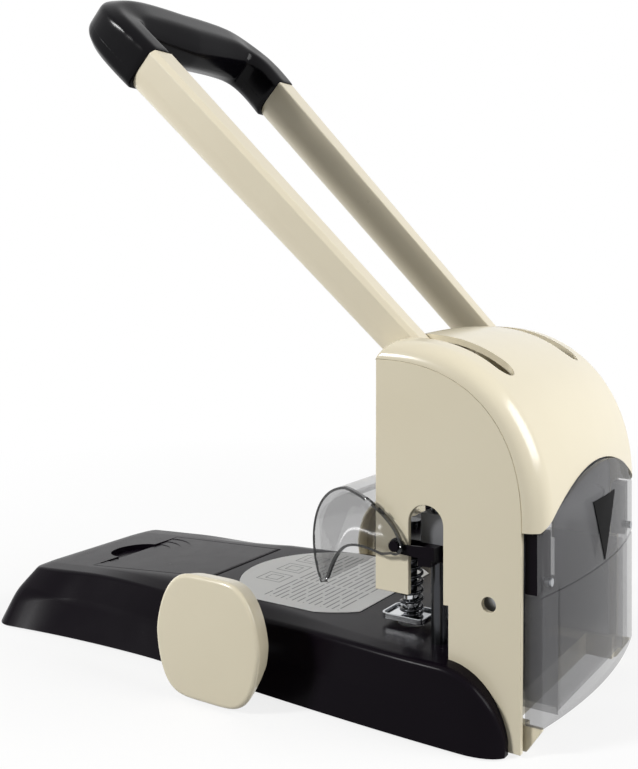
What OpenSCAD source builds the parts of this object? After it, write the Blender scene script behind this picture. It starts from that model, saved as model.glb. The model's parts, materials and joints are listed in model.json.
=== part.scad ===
// Heavy-duty two-hole punch with a long lever, a chip drawer and two side stops.
// Millimetres, +Z up. The origin is on the desk, midway between the holes, on their line.
// -Y is the user's side, +Y the drawer's side, +X the user's right.

/* [Punching] */
// Distance between the centres of the two holes
hole_spacing = 80; // [78:0.5:82]
// Diameter of a punch pin
pin_d = 6; // [5:0.5:6.5]
// Distance from the paper's edge to the hole line
hole_margin = 12; // [11:0.5:13]
// Gap under a presser plate with the lever as shown
presser_gap = 3; // [2.8:0.1:4]
// Wire diameter of a pin spring
spring_wire = 1.7; // [1:0.1:1.8]
// Turns of a pin spring
spring_turns = 9; // [6:1:10]

/* [Tower] */
// Width over the two side panels
tower_w = 150; // [148:0.5:154]
// Front edge of the side panels, ahead of the hole line
tower_front = 2; // [1.5:0.1:2.5]
// Rear edge of the side panels, behind the hole line
tower_rear = 75; // [74.5:0.1:76]
// Height of the seam between panel and cover at the front
seam_h = 180; // [178:0.5:184]
// Height of the cover's lower edge at the rear
seam_low = 104; // [102:0.5:106]
// Thickness of a side panel
panel_t = 3; // [2.5:0.1:3]
// Height of the cover's crown over the seam
cover_rise = 11.5; // [11:0.5:14]
// Reach of the cover's back behind the panels
cover_back = 12.5; // [11.5:0.5:13]
// Width of the rounding along the cover's side edges
cover_round = 14; // [10:0.5:15]
// Wall thickness of the cover
cover_t = 3; // [2:0.1:3.5]
// Width of a side panel's arched slot
arch_w = 18.8; // [18.4:0.1:20]
// Height of the arched slot's top
arch_top = 110.5; // [110:0.5:114]

/* [Base] */
// Height of the base's flat top
base_h = 38.4; // [38:0.1:38.6]
// Reach of the base in front of the hole line
base_reach = 281; // [276:1:290]
// Width of the base at its waist, on the desk
waist_w = 156; // [152:1:160]
// Width of the base beside the tower, on the desk
tower_base_w = 174; // [172:0.2:177]
// Width of the base's top edge at its waist
crest_w = 113; // [104:1:116]
// Wall thickness of the base
base_t = 3; // [2.5:0.1:3.2]
// Height of a rubber foot
foot_h = 1.2; // [1:0.1:1.5]
// Length of the storage lid
lid_len = 94; // [90:1:96]
// Radius of the round label plate
label_r = 58; // [54:0.5:59]

/* [Lever] */
// Angle of the arms over the desk, as shown
lever_angle = 44.2; // [44:0.1:44.5]
// Length of an arm from the cover to the grip
arm_len = 220; // [210:1:230]
// Depth of an arm at the cover
arm_root_h = 21.4; // [18:0.2:22]
// Depth of an arm at the grip
arm_tip_h = 28.2; // [25:0.2:28.4]
// Thickness of an arm at the cover
arm_root_t = 11.5; // [10:0.5:11.5]
// Thickness of an arm at the grip
arm_tip_t = 18; // [14:0.5:18.5]
// Diameter of the lever's shaft
shaft_d = 12; // [10:0.5:13]
// Diameter of the drive pin
drive_d = 8; // [7:0.5:8.5]

/* [Guard and drawer] */
// Thickness of the guard's sheet
guard_t = 2.2; // [1.8:0.1:2.4]
// Height of the drawer's bin
bin_h = 61; // [55:1:62]
// Wall thickness of the drawer
drawer_t = 2.4; // [2:0.1:2.8]
// Rise of the arch on the drawer's face
face_rise = 23.5; // [20:0.5:25]

/* [Side stops] */
// Width of a side stop
stop_w = 68; // [66:1:74]
// Height of a side stop
stop_h = 65; // [60:1:65]
// Depth of a side stop's rim
stop_t = 12.5; // [11:0.5:14]
// Diameter of a gauge rod
rod_d = 8; // [7:0.5:9]

/* [Hidden] */
$fn = 48;

// Colours
cream = "#ded6bd";
black = "#2b2b30";
smoke = [0.25, 0.25, 0.28, 0.5];
steel = "#9a9ca0";
chrome = "#c9ccd0";
grey = "#77797c";
rubber = "#1c1c1e";
pale = "#c9c9c6";

// Clearances
run = 0.05;
slip = 0.3;
free = 0.6;

// Tower places
half_w = tower_w / 2;
panel_in = half_w - panel_t;
front_y = -tower_front;
pin_x = hole_spacing / 2;
frame_in = panel_in - 6;
frame_t = 3;
frame_out = frame_in + frame_t;
leg_y = 38.2;
strip_bottom = 65.2;
arch_y = 26.1;
leg_step_z = 63.8;
seam_k = 0.06;
cover_nose = 10;
cover_bow = 2.5;
crown = 2.5;
arm_slot_x = [40, 54];
arm_slot_w = arm_slot_x[1] - arm_slot_x[0];
arm_slot_rear = 60;
arm_slot_low = 154;
front_wall_low = 124;
front_wall_half = 57;
access_at = [59.2, 68];
access_d = 7.2;
boss_at = [[66, 50], [66, 96], [28, 138]];
boss_d = 9;
screw_d = 4;

// Base places along Y
waist_y = -150;
nose_len = 20;
nose_power = 2.9;
nose_y = 0.95 * nose_len - base_reach;
heel_y = 37;
heel_len = 32.5;
heel_end = 69;
body_end = leg_y - 0.7;
corner_len = 21;
corner_in = 34;
corner_y = 0.97 * corner_len - base_reach;
heel_corner_y = 50;
lid_rear = -139;
lid_front = lid_rear - lid_len;
lid_slope = 0.07;
lid_tilt = atan(lid_slope);
lid_rear_w = 71;
lid_front_w = 82;
lid_t = 3;
lid_axis = [-140.4, base_h - lid_t / 2];
lid_pin_d = 1.6;
lid_pin_half = 38;
notch_r = 18;
dish_r = [36, 29, 22];
dish_step = 0.35;
store_in = [66, 86];
store_rear = -143.5;
store_floor = 4;
store_wall = 2;
rib_half = 2;
rib_y = [-104, -62];
ledge_t = 2.5;
shoulder_w = 12;
skirt_z = 0.4;
shoulder_drop = 5;
nose_drop = 0.5;
tower_drop = 0.5;
nose_crest = -2;
tower_crest = tower_base_w / 2 - 2.2;
plate_t = 2;
plate_front = 8 - base_reach;
plate_rear = 34;
plate_parts = 12;
label_y = -72;
label_half = 54.6;
label_rear = -31;
label_t = 0.4;

// Die and pins
under_top = base_h - base_t - slip;
die_z = [24, under_top];
die_y = [-12, 34];
die_bush_d = 14;
die_relief = 8;
back_half = 26;
back_top = 62;
back_foot = 14;
back_t = 1.5;
post_at = [58, 25];
post_d = 8;
post_top = 131;
carrier_z = [80, 89];
carrier_half = 62;
carrier_y = [-10, 33];
bush_half = 6.3;
bush_y = [-8, 6];
bush_h = 15;
pin_tip = base_h + presser_gap + 0.6;
presser_z = base_h + presser_gap;
presser_size = [20, 25];
presser_t = 1.6;
presser_rim = 3;
presser_wall = 1.2;
presser_round = 3.5;
presser_front = -13.5;
collar_d = pin_d + 2.2;
collar_h = 13;

// Lever places
pivot = [52, 134];
crank = 36;
crank_angle = -10.25;
crank_half = 9;
hub_r = 15;
drive_at = [pivot[0] - crank, pivot[1] + crank * tan(crank_angle)];
cheek_x = [42.4, 49.6];
neck_x = 46;
neck = [6, 15];
arm_bevel = 2.8;
neck_start = -14;
neck_end = -72;
arm_root = [47, -5, 190];
arm_dir = [0.0795, -cos(lever_angle), sin(lever_angle)];
arm_up = [0, sin(lever_angle), cos(lever_angle)];
tang = [6, 14, 26];
grip_leg = [10.4, 15.2];
grip_bar = [19.5, 15.8];
grip_lift = [0, -0.2];
grip_seam = -5;
grip_bend = 53;
grip_flare = 4.5;
grip_step = 33;
grip_round = [67, -2, 2];
yoke_r = 9;
drive_play = 2.5;
yoke_x = [33, 38];

// Guard, drawer and side stops
guard_pivot = [11, 89.4];
cheek_in = half_w + 2.1;
ear_x = [half_w + 0.8, half_w + 2];
ear_z = [85.4, 89.8];
ear_end = [31.5, 84.4, 91];
neck_half = 3.5;
guard_crest = [-17.7, 115.3];
guard_tip = [-32, 64.5];
guard_back = [-11.5, 113];
guard_bulge = [[-41, 84], [-38, 113]];
guard_over = [[-8, 114], [14, 102], [15.2, 89]];
guard_under = [[4, 84], [-6, 86], [-13, 88], [-19, 83]];
guard_beak = [[-19.6, 82.4], [-24, 78], [-26, 71], [-28, 66.5]];
guard_hollow = [[-32.7, 114.3], [-38, 86]];
guard_ear_r = 4.6;
guard_screw_d = 4;
guard_head = [5.4, 0.8];
bed_top = 13.6;
bed_rear = 60;
gusset_t = 2.5;
gusset_reach = 8.4;
drawer_bottom = 14;
drawer_front = -14;
bin_front = 42;
bin_half = 52;
tray_h = 8;
face_half = 71;
face_bow_r = 391;
face_y = 90.5;
return_front = tower_rear + 0.6;
floor_rear = face_y - 7.5;
wall_rear = face_y - 5.5;
return_rear = face_y - 6.3;
grip_block_x = 59;
stud_at = [63, 80];
stud_d = 4;
stud_len = 6;
line_z = [74.2, 75.4];
line_t = 0.6;
stud_y = face_y - face_bow_r + sqrt(pow(face_bow_r, 2) - pow(stud_at[0], 2));
arrow_half = 17.5;
arrow_z = [76, 109];
arrow_t = 0.5;
stop_x = 110;
stop_at = [-83.5, 33.2];
stop_power = 5;
stop_pinch = 0.3;
stop_edge = 3;
stop_run = [9, 24];
stop_wall = 2.5;
rod_y = [-75.2, -89.2];
rod_z = 24;
rod_in = -55;
rod_socket = 8;

// Helpers

function lerp(a, b, t) = a + (b - a) * t;
function clamp01(t) = max(0, min(1, t));
function smooth(t) = let (c = clamp01(t)) c * c * (3 - 2 * c);
function bezier(a, b, c, d, n) = [for (i = [0:n]) let (t = i / n)
    pow(1 - t, 3) * a + 3 * t * pow(1 - t, 2) * b + 3 * t * t * (1 - t) * c + pow(t, 3) * d];
function arc(c, r, from, to, n) = [for (i = [0:n]) let (a = lerp(from, to, i / n))
    c + r * [cos(a), sin(a)]];
function unit(v) = v / norm(v);
function signed_pow(v, p) = sign(v) * pow(abs(v), p);
function oval(w, h, power, n) = [for (i = [0:n - 1]) let (a = 360 * i / n)
    [w * signed_pow(cos(a), 2 / power), h * signed_pow(sin(a), 2 / power)]];

// Puts children on the right, or mirrored on the left
module on_side(side) {
    if (side > 0) children();
    else mirror([1, 0, 0]) children();
}

// Extrudes an outline drawn in Y and Z along +X, starting at x
module along_x(x, len) {
    translate([x, 0, 0]) rotate([90, 0, 90]) linear_extrude(len) children();
}

// Cylinder along +X from x to x + len at [y, z]
module rod_x(x, len, at, d) {
    translate([x, at[0], at[1]]) rotate([0, 90, 0]) cylinder(h = len, d = d);
}

// Box between two corners
module box(low, high) {
    translate(low) cube(high - low);
}

// Closed solid through rings that turn right-handed about their path
module loft(rings) {
    n = len(rings[0]);
    last = (len(rings) - 1) * n;
    sides = [for (i = [0:len(rings) - 2], j = [0:n - 1])
        let (a = i * n + j, b = i * n + (j + 1) % n)
        each [[a, b + n, b], [a, a + n, b + n]]];
    caps = [[for (j = [0:n - 1]) j], [for (j = [n - 1:-1:0]) last + j]];
    polyhedron([for (r = rings) each r], concat(sides, caps), convexity = 8);
}

// Closed sheet between an outer and an inner grid of points, both as rows along +X
module sheet(outer, inner) {
    n = len(outer[0]);
    m = len(outer);
    all = n * m;
    skin = [for (v = [0:m - 2], u = [0:n - 2])
        let (a = v * n + u, b = a + 1, c = a + n, d = c + 1)
        each [[a, c, d], [a, d, b], [all + a, all + b, all + d], [all + a, all + d, all + c]]];
    ends = [for (v = [0:m - 2])
        let (a = v * n, c = a + n, b = a + n - 1, d = b + n)
        each [[c, a, all + a], [c, all + a, all + c], [b, d, all + d], [b, all + d, all + b]]];
    rims = [for (u = [0:n - 2])
        let (a = u, b = u + 1, c = (m - 1) * n + u, d = c + 1)
        each [[a, b, all + b], [a, all + b, all + a], [d, c, all + c], [d, all + c, all + d]]];
    polyhedron([for (r = concat(outer, inner)) each r], concat(skin, ends, rims), convexity = 8);
}

// Base

// Share of the full height left by the round nose and the round heels
function end_share(y) =
    y < nose_y ? pow(1 - pow((nose_y - y) / nose_len, nose_power), 1 / nose_power) :
    y > heel_y ? sqrt(1 - pow((y - heel_y) / heel_len, 2)) : 1;
function top_z(y) = base_h - lid_slope * max(0, lid_rear - y);
function crest_half(y) = lerp(crest_w / 2, tower_crest, smooth((y + 200) / 240))
    + nose_crest * smooth((nose_y + 50 - y) / 50);
function drop(y) = lerp(lerp(nose_drop, shoulder_drop, smooth((y - nose_y - 36) / 86)), tower_drop,
    smooth((y + 120) / 110));
function waist_flare(y) = y < waist_y
    ? (tower_base_w - waist_w) / 2 * pow((y - waist_y) / (corner_y - waist_y), 2)
    : (tower_base_w - waist_w) / 2 * sin(90 * pow((y - waist_y) / (heel_corner_y - waist_y), 1.15));
function corner_cut(y) =
    y < corner_y ? corner_in * (1 - sqrt(1 - pow((corner_y - y) / corner_len, 2))) :
    y > heel_corner_y ? 11 * (1 - sqrt(1 - pow((y - heel_corner_y) / 20, 2))) : 0;
function floor_half(y) = waist_w / 2 + waist_flare(min(y, heel_corner_y)) - corner_cut(y);

// Cross-section of the base at y, drawn in by a wall
function base_ring(y, wall, low) =
    let (share = end_share(y),
        top = top_z(y) * share - wall,
        side = (top_z(y) - drop(y)) * share - wall,
        foot = floor_half(y) - wall,
        crest = min(crest_half(y), floor_half(y) - 2) - wall,
        flat = crest - shoulder_w,
        belly = lerp(foot, crest, 0.6),
        belly_z = lerp(low, side, 0.5))
    [[-flat, y, top], [flat, y, top], [crest, y, side], [belly, y, belly_z], [foot, y, low],
        [-foot, y, low], [-belly, y, belly_z], [-crest, y, side]];

// Half width of the hollow inside the base at y and z, below its belly
function core_half(y, z) =
    let (ring = base_ring(y, base_t, -1), foot = ring[4], belly = ring[3])
    lerp(foot[0], belly[0], (z - foot[2]) / (belly[2] - foot[2]));

nose_stations = [0, 0.05, 0.15, 0.3, 0.5, 0.75];
heel_stations = [46, 54, 60, 65];
shell_stations = concat([for (s = nose_stations) s * nose_len - base_reach], [nose_y],
    [for (y = [-230:20:-150]) y], [lid_rear], [for (y = [-115:25:10]) y], [heel_y],
    heel_stations, [heel_end]);
core_stations = concat([for (s = [0.75, 0.4, 0]) nose_y - s * nose_len], [for (y = [-230:20:-150]) y],
    [lid_rear], [for (y = [-115:25:10]) y], [body_end + 1]);

// Outline of the lid in its own plane, with its rear edge on Y = 0
module lid_outline(gap, rear_gap) {
    polygon([[-lid_rear_w / 2 - gap, rear_gap], [lid_rear_w / 2 + gap, rear_gap],
        [lid_front_w / 2 + gap, -lid_len - gap], [-lid_front_w / 2 - gap, -lid_len - gap]]);
}

module in_lid_plane() {
    translate([0, lid_rear, base_h]) rotate([lid_tilt, 0, 0]) children();
}

// Compartment under the lid, with a ledge that the lid lies on
module storage_walls() {
    outer = [store_in[0] / 2 + store_wall, store_in[1] + store_wall];
    difference() {
        union() {
            intersection() {
                box([-outer[0], store_rear - outer[1], store_floor],
                    [outer[0], store_rear + store_wall, base_h]);
                in_lid_plane() translate([-half_w, -base_reach, -1 - 2 * base_h])
                    cube([tower_w, 2 * base_reach, 2 * base_h]);
            }
            in_lid_plane() translate([0, 0, -lid_t - ledge_t]) linear_extrude(lid_t + ledge_t - 1) {
                lid_outline(4, 4);
                translate([0, -lid_len]) circle(r = notch_r + 3);
            }
        }
        box([-store_in[0] / 2, store_rear - store_in[1], store_floor + store_wall],
            [store_in[0] / 2, store_rear, base_h + 5]);
    }
}

module base_shell() {
    color(black) difference() {
        union() {
            difference() {
                loft([for (y = shell_stations) base_ring(y, 0, skirt_z)]);
                loft([for (y = core_stations) base_ring(y, base_t, -1)]);
            }
            storage_walls();
            box([-rib_half, rib_y[0], plate_t + foot_h], [rib_half, rib_y[1], base_h - 1]);
            for (p = base_screw_at) translate([p[0], p[1], foot_h + plate_t])
                cylinder(h = base_h - 1 - foot_h - plate_t, d = base_boss_d);
        }
        for (p = base_screw_at) translate([p[0], p[1], 0])
            cylinder(h = base_screw_len + foot_h, d = screw_d);
        // Place of the tower between the heels
        box([-half_w - 0.15, body_end, -1], [half_w + 0.15, tower_rear + 5, 2 * base_h]);
        // Lid's opening, finger notch and hinge bores
        in_lid_plane() translate([0, 0, -lid_t - 0.2]) linear_extrude(base_h) lid_outline(0.5, 1.2);
        in_lid_plane() translate([0, -lid_len, -lid_t - 0.2]) cylinder(h = base_h, r = notch_r);
        rod_x(-lid_pin_half, 2 * lid_pin_half, lid_axis, lid_pin_d);
        // Ways for the die bushes, posts and gauge rods
        for (s = [-1, 1]) {
            translate([s * pin_x, 0, die_z[0]]) cylinder(h = base_h, d = die_bush_d);
            translate([s * post_at[0], post_at[1], die_z[0]]) cylinder(h = base_h, d = post_d);
        }
        rod_x(-rib_half - 1, stop_x, [rod_y[0], rod_z], rod_d + 2 * run);
        rod_x(rib_half + 1 - stop_x, stop_x, [rod_y[1], rod_z], rod_d + 2 * run);
    }
}

module bottom_plate() {
    edge = [for (i = [0:plate_parts]) let (y = lerp(plate_front, plate_rear, i / plate_parts))
        [core_half(y, foot_h + plate_t) - 1.6, y]];
    color(steel) translate([0, 0, foot_h]) difference() {
        linear_extrude(plate_t) polygon(concat(edge,
            [for (i = [len(edge) - 1:-1:0]) [-edge[i][0], edge[i][1]]]));
        for (p = base_screw_at) translate([p[0], p[1], -1]) cylinder(h = 5, d = screw_d);
    }
}

strip_y = [36 - base_reach, 0];
strip_half = 58;
strip_w = 14;
base_screw_at = [[50, -30], [-50, -30], [30, -128], [-30, -128]];
base_boss_d = 10;
base_screw_len = 10;

module rubber_feet() {
    color(rubber) for (y = strip_y) linear_extrude(foot_h) {
        translate([-strip_half, y - strip_w / 2]) square([2 * strip_half, strip_w]);
        for (s = [-1, 1]) translate([s * strip_half, y]) circle(d = strip_w);
    }
}

module base_screws() {
    color(steel) for (p = base_screw_at) translate([p[0], p[1], foot_h - 1]) {
        cylinder(h = 1, d = 7.5);
        cylinder(h = base_screw_len, d = screw_d);
    }
}

module storage_lid() {
    color(black) difference() {
        union() {
            in_lid_plane() translate([0, 0, -lid_t + 0.6]) linear_extrude(lid_t - 0.6)
                lid_outline(0, -2.5);
            rod_x(-lid_rear_w / 2 + 0.5, lid_rear_w - 1, lid_axis, lid_t);
        }
        for (i = [0:2]) in_lid_plane() translate([0, -lid_len, -dish_step * (i + 1)])
            cylinder(h = 5, r = dish_r[i]);
        rod_x(-lid_pin_half - 2, 2 * lid_pin_half + 4, lid_axis, lid_pin_d + 2 * run);
    }
}

module lid_pin() {
    color(steel) rod_x(-lid_pin_half, 2 * lid_pin_half, lid_axis, lid_pin_d);
}

module label_plate() {
    color(pale) translate([0, 0, base_h]) linear_extrude(label_t) intersection() {
        translate([0, label_y]) circle(r = label_r, $fn = 96);
        translate([-label_half, label_y - label_r]) square([2 * label_half, label_rear - label_y + label_r]);
    }
}

// Die, posts and frame

module die_block() {
    color(steel) difference() {
        box([-frame_in, die_y[0], die_z[0]], [frame_in, die_y[1], die_z[1]]);
        for (s = [-1, 1]) {
            translate([s * pin_x, 0, 0]) cylinder(h = 2 * base_h, d = die_bush_d);
            translate([s * post_at[0], post_at[1], 0]) cylinder(h = 2 * base_h, d = post_d);
        }
    }
}

module die_bushes() {
    color(steel) for (s = [-1, 1]) translate([s * pin_x, 0, die_z[0]]) difference() {
        cylinder(h = base_h - die_z[0], d = die_bush_d);
        translate([0, 0, -1]) cylinder(h = 2 * base_h, d = pin_d + 2 * run);
        translate([0, 0, -1]) cylinder(h = die_relief + 1, d = pin_d + 2);
    }
}

module back_stop() {
    color(steel) {
        box([-back_half, hole_margin, base_h], [back_half, hole_margin + back_t, back_top]);
        box([-back_half, hole_margin + back_t, base_h], [back_half, hole_margin + back_foot, base_h + back_t]);
    }
}

module guide_posts() {
    color(chrome) for (s = [-1, 1]) translate([s * post_at[0], post_at[1], die_z[0]])
        cylinder(h = post_top - die_z[0], d = post_d);
}

frame_y = [8, 17, 58, 66, 72];
frame_z = [112, 124, 130, 148];
frame_leg = leg_y + 1.5;
frame_low = foot_h + plate_t;
lug_half = 6.5;
lug_y = [17, 33];
lug_t = 5;
frame_outline = [[frame_y[0], frame_low], [frame_y[4], frame_low], [frame_y[4], frame_z[0]],
    [frame_y[3], frame_z[2]], [frame_y[2], frame_z[3]], [frame_y[1], frame_z[3]], [frame_y[1], frame_z[1]],
    [frame_leg, frame_z[0]], [frame_leg, under_top], [frame_y[0], under_top]];

module frame_plate(side) {
    color(steel) on_side(side) difference() {
        union() {
            along_x(frame_in, frame_t) polygon(frame_outline);
            box([post_at[0] - lug_half, lug_y[0], post_top - lug_t], [frame_in, lug_y[1], post_top]);
        }
        rod_x(frame_in - 1, frame_t + 2, pivot, shaft_d);
        translate([post_at[0], post_at[1], 0]) cylinder(h = 2 * post_top, d = post_d);
        for (p = boss_at) rod_x(frame_in - 1, frame_t + 2, p, screw_d);
    }
}

// Casing

// Side view of the cover's surface, from its rear edge over the crown to its front edge.
// share is 1 on the crown and near 0 at the seam; wall draws it in; lift adds to the crown.
function cover_path(share, wall, bow, lift) =
    let (top = seam_h + (cover_rise - wall + lift) * share,
        back = tower_rear + (cover_back - wall + bow) * share,
        front = front_y + wall * share,
        r = (cover_nose - wall) * share,
        start = front + r,
        power = lerp(2.4, 2.2, share))
    concat([for (i = [0:12]) let (a = 90 * i / 12)
            [start + (back - start) * pow(cos(a), 2 / power),
                seam_low + (top - seam_low) * pow(sin(a), 2 / power)]],
        [for (i = [1:4]) let (a = 90 * i / 4) [start - r * sin(a), top - r + r * cos(a)]],
        [[front, seam_h]]);

// Rows of the cover's surface across X for one wall position
function cover_rows(wall) =
    let (flat = half_w - cover_round,
        across = concat([for (i = [6:-1:1]) -90 * i / 6], [for (i = [-3:3]) i / 10],
            [for (i = [1:6]) 90 * i / 6]))
    [for (a = across)
        let (edge = abs(a) > 1,
            x = edge ? sign(a) * (flat - wall + cover_round * sin(abs(a))) : (flat - wall) * a / 0.3,
            share = edge ? lerp(seam_k, 1, cos(a)) : 1,
            lift = edge ? 0 : 1 - pow(a / 0.3, 2))
        [for (p = cover_path(share, wall, cover_bow * lift, crown * lift)) [x, p[0], p[1]]]];

panel_outline = concat([[leg_y, foot_h], [tower_rear, foot_h]],
    [for (p = cover_path(seam_k, cover_t, 0, 0)) p],
    [[front_y, strip_bottom], [arch_y - arch_w / 2, strip_bottom]],
    arc([arch_y, arch_top - arch_w / 2], arch_w / 2, 180, 0, 12),
    [[arch_y + arch_w / 2, leg_step_z], [leg_y, leg_step_z]]);

module side_panel(side) {
    color(cream) on_side(side) difference() {
        union() {
            along_x(panel_in, panel_t) polygon(panel_outline);
            box([panel_in - 5, front_y + 0.2, strip_bottom], [panel_in, front_y + 2.6, front_wall_low - 1]);
            for (p = boss_at) rod_x(frame_out, panel_in - frame_out, p, boss_d);
        }
        rod_x(panel_in - 1, panel_t + 2, access_at, access_d);
        for (p = boss_at) rod_x(frame_out - 1, panel_in - frame_out + 2, p, screw_d);
    }
}

module panel_screws() {
    color(steel) for (s = [-1, 1]) on_side(s) for (p = boss_at) {
        rod_x(frame_in - 1.6, 1.6, p, 7);
        rod_x(frame_in, panel_in + 1 - frame_in, p, screw_d);
    }
}

// Arched outline of the drawer's face in X and Z, grown by a gap
module face_outline(gap) {
    r = (face_half * face_half + face_rise * face_rise) / (2 * face_rise);
    translate([-face_half - gap, drawer_bottom]) square([2 * (face_half + gap), seam_low - drawer_bottom - 6]);
    intersection() {
        translate([0, seam_low + face_rise - r]) circle(r = r + gap - free, $fn = 180);
        translate([-face_half - gap, seam_low / 2]) square([2 * (face_half + gap), seam_low]);
    }
}

module along_y(y, len) {
    translate([0, y + len, 0]) rotate([90, 0, 0]) linear_extrude(len) children();
}

module top_cover() {
    color(cream) difference() {
        union() {
            sheet(cover_rows(0), cover_rows(cover_t));
            box([-front_wall_half, front_y + 0.3, front_wall_low],
                [front_wall_half, front_y + cover_t - 0.5, seam_h + 2]);
        }
        for (s = [-1, 1]) on_side(s) {
            translate([0, 0, arm_slot_low]) linear_extrude(seam_h) {
                translate([arm_slot_x[0], front_y - arm_slot_w])
                    square([arm_slot_w, arm_slot_rear - front_y + arm_slot_w / 2]);
                translate([arm_slot_x[0] + arm_slot_w / 2, arm_slot_rear - arm_slot_w / 2])
                    circle(d = arm_slot_w);
            }
        }
        along_y(tower_rear - 20, 2 * cover_back + 40) face_outline(free);
    }
}

// Lever

module lever_shaft() {
    color(steel) rod_x(-frame_out - 2, 2 * frame_out + 4, pivot, shaft_d);
}

module shaft_rings() {
    color(steel) for (s = [-1, 1]) on_side(s) difference() {
        rod_x(frame_out, 1.2, pivot, shaft_d + 6);
        rod_x(frame_out - 1, 4, pivot, shaft_d);
    }
}

// Cross-section of an arm: w across its thickness, h along its depth, outer side at +w.
// The top is flat with a bevelled outer edge, the sides are upright, the lower half is round.
arm_under = [[1, -0.06], [0.93, -0.4], [0.72, -0.7], [0.38, -0.92]];
function arm_section(t, h) =
    let (w = t / 2, e = h / 2)
    concat([for (p = arm_under) [-w * p[0], e * p[1]]], [[0, -e]],
        [for (i = [3:-1:0]) [w * arm_under[i][0], e * arm_under[i][1]]],
        [[w, e - arm_bevel], [w * 0.7, e], [-w, e]]);

// Ring of an arm at s along it; behind the cover it narrows to the neck that meets the hub
function arm_ring(s) =
    let (c = arm_root + arm_dir * s,
        share = clamp01(s / arm_len),
        narrow = smooth((neck_start - s) / 26),
        t = lerp(lerp(arm_root_t, arm_tip_t, share), neck[0], narrow),
        h = lerp(lerp(arm_root_h, arm_tip_h, share), neck[1], narrow))
    [for (p = arm_section(t, h)) [max(c[0], neck_x) + p[0], c[1], c[2]] + arm_up * p[1]];
arm_stations = [neck_end, neck_start - 26, neck_start, arm_len / 2, arm_len];

// Puts children on an arm's line: X across, Y along the arm, Z up its depth
module on_arm(s) {
    c = arm_root + arm_dir * s;
    translate(c) rotate([-lever_angle, 0, 0]) mirror([0, 1, 0]) children();
}

// Hub and crank of an arm, side view
module crank_outline() {
    translate(pivot) {
        circle(r = hub_r);
        rotate(180 - crank_angle) {
            translate([0, -crank_half]) square([crank + 2, 2 * crank_half]);
            translate([crank + 2, 0]) circle(r = crank_half);
        }
    }
}

module arm(side) {
    color(cream) on_side(side) difference() {
        union() {
            loft([for (s = arm_stations) arm_ring(s)]);
            along_x(cheek_x[0], cheek_x[1] - cheek_x[0]) crank_outline();
            on_arm(arm_len) translate([-tang[0] / 2, -4, -tang[1] / 2])
                cube([tang[0], tang[2] + 4, tang[1]]);
        }
        rod_x(0, half_w, pivot, shaft_d + 2 * run);
        // Slot that drives the pin, along the crank
        along_x(0, half_w) translate(pivot) rotate(180 - crank_angle) {
            translate([crank - drive_play, -drive_d / 2 - free]) square([2 * drive_play, drive_d + 2 * free]);
            for (r = [crank - drive_play, crank + drive_play]) translate([r, 0]) circle(d = drive_d + 2 * free);
        }
    }
}

// Path of the grip from the right arm to the middle, and its cross-sections
grip_start = arm_root + arm_dir * arm_len;
grip_mid = [0, grip_start[1] - grip_step, grip_start[2] + grip_step];
grip_half = bezier(grip_start, grip_start + arm_dir * grip_bend + [grip_flare, 0, 0],
    grip_mid + grip_round, grip_mid, 9);
grip_path = concat(grip_half, [for (i = [8:-1:0]) [-grip_half[i][0], grip_half[i][1], grip_half[i][2]]]);

function grip_ring(i) =
    let (last = len(grip_path) - 1,
        ahead = i == 0 ? cross([1, 0, 0], arm_up) : i == last ? cross(arm_up, [1, 0, 0])
            : unit(grip_path[i + 1] - grip_path[i - 1]),
        across = unit(cross(arm_up, ahead)),
        share = smooth(1 - abs(2 * i / last - 1)))
    [for (p = oval(lerp(grip_leg[0], grip_bar[0], share), lerp(grip_leg[1], grip_bar[1], share), 3.2, 20))
        grip_path[i] + across * p[0] + arm_up * (p[1] + lerp(grip_lift[0], grip_lift[1], share))];

module grip_solid() {
    difference() {
        loft([for (i = [0:len(grip_path) - 1]) grip_ring(i)]);
        for (s = [-1, 1]) on_side(s) on_arm(arm_len)
            translate([-tang[0] / 2, -1, -tang[1] / 2]) cube([tang[0], tang[2] + 1, tang[1]]);
    }
}

// Half-space over the grip's seam, in the plane of the arms
module over_grip_seam() {
    translate(grip_mid) rotate([-lever_angle, 0, 0])
        translate([-tower_w, -tower_w, grip_seam]) cube(2 * tower_w);
}

module grip_upper() {
    color(black) intersection() {
        grip_solid();
        over_grip_seam();
    }
}

module grip_lower() {
    color(black) difference() {
        grip_solid();
        over_grip_seam();
    }
}

// Punch head

module carrier_bar() {
    z0 = carrier_z[0];
    z1 = carrier_z[1];
    color(black) difference() {
        union() {
            box([-carrier_half, carrier_y[0], z0], [carrier_half, carrier_y[1], z1]);
            for (s = [-1, 1]) on_side(s) {
                box([carrier_half - 1, arch_y - neck_half, z0 + 1], [ear_x[1] - 0.4, arch_y + neck_half, z1]);
                along_x(ear_x[0], ear_x[1] - ear_x[0]) {
                    polygon([[guard_pivot[0], ear_z[0]], [ear_end[0], ear_end[1]],
                        [ear_end[0], ear_end[2]], [guard_pivot[0], ear_z[1]]]);
                    translate(guard_pivot) circle(d = 7);
                }
                box([yoke_x[0], drive_at[0] - yoke_r, z1 - 1], [yoke_x[1], drive_at[0] + yoke_r, drive_at[1]]);
                rod_x(yoke_x[0], yoke_x[1] - yoke_x[0], drive_at, 2 * yoke_r);
            }
        }
        for (s = [-1, 1]) on_side(s) {
            translate([pin_x, 0, 0]) cylinder(h = seam_h, d = pin_d);
            translate([post_at[0], post_at[1], 0]) cylinder(h = seam_h, d = post_d + 2 * slip);
            rod_x(carrier_half + 1, half_w, guard_pivot, guard_screw_d);
            rod_x(yoke_x[0] - 1, yoke_x[1] - yoke_x[0] + 2, drive_at, drive_d);
        }
    }
}

module drive_pin() {
    color(steel) rod_x(-cheek_x[1] - 1, 2 * cheek_x[1] + 2, drive_at, drive_d);
}

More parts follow.
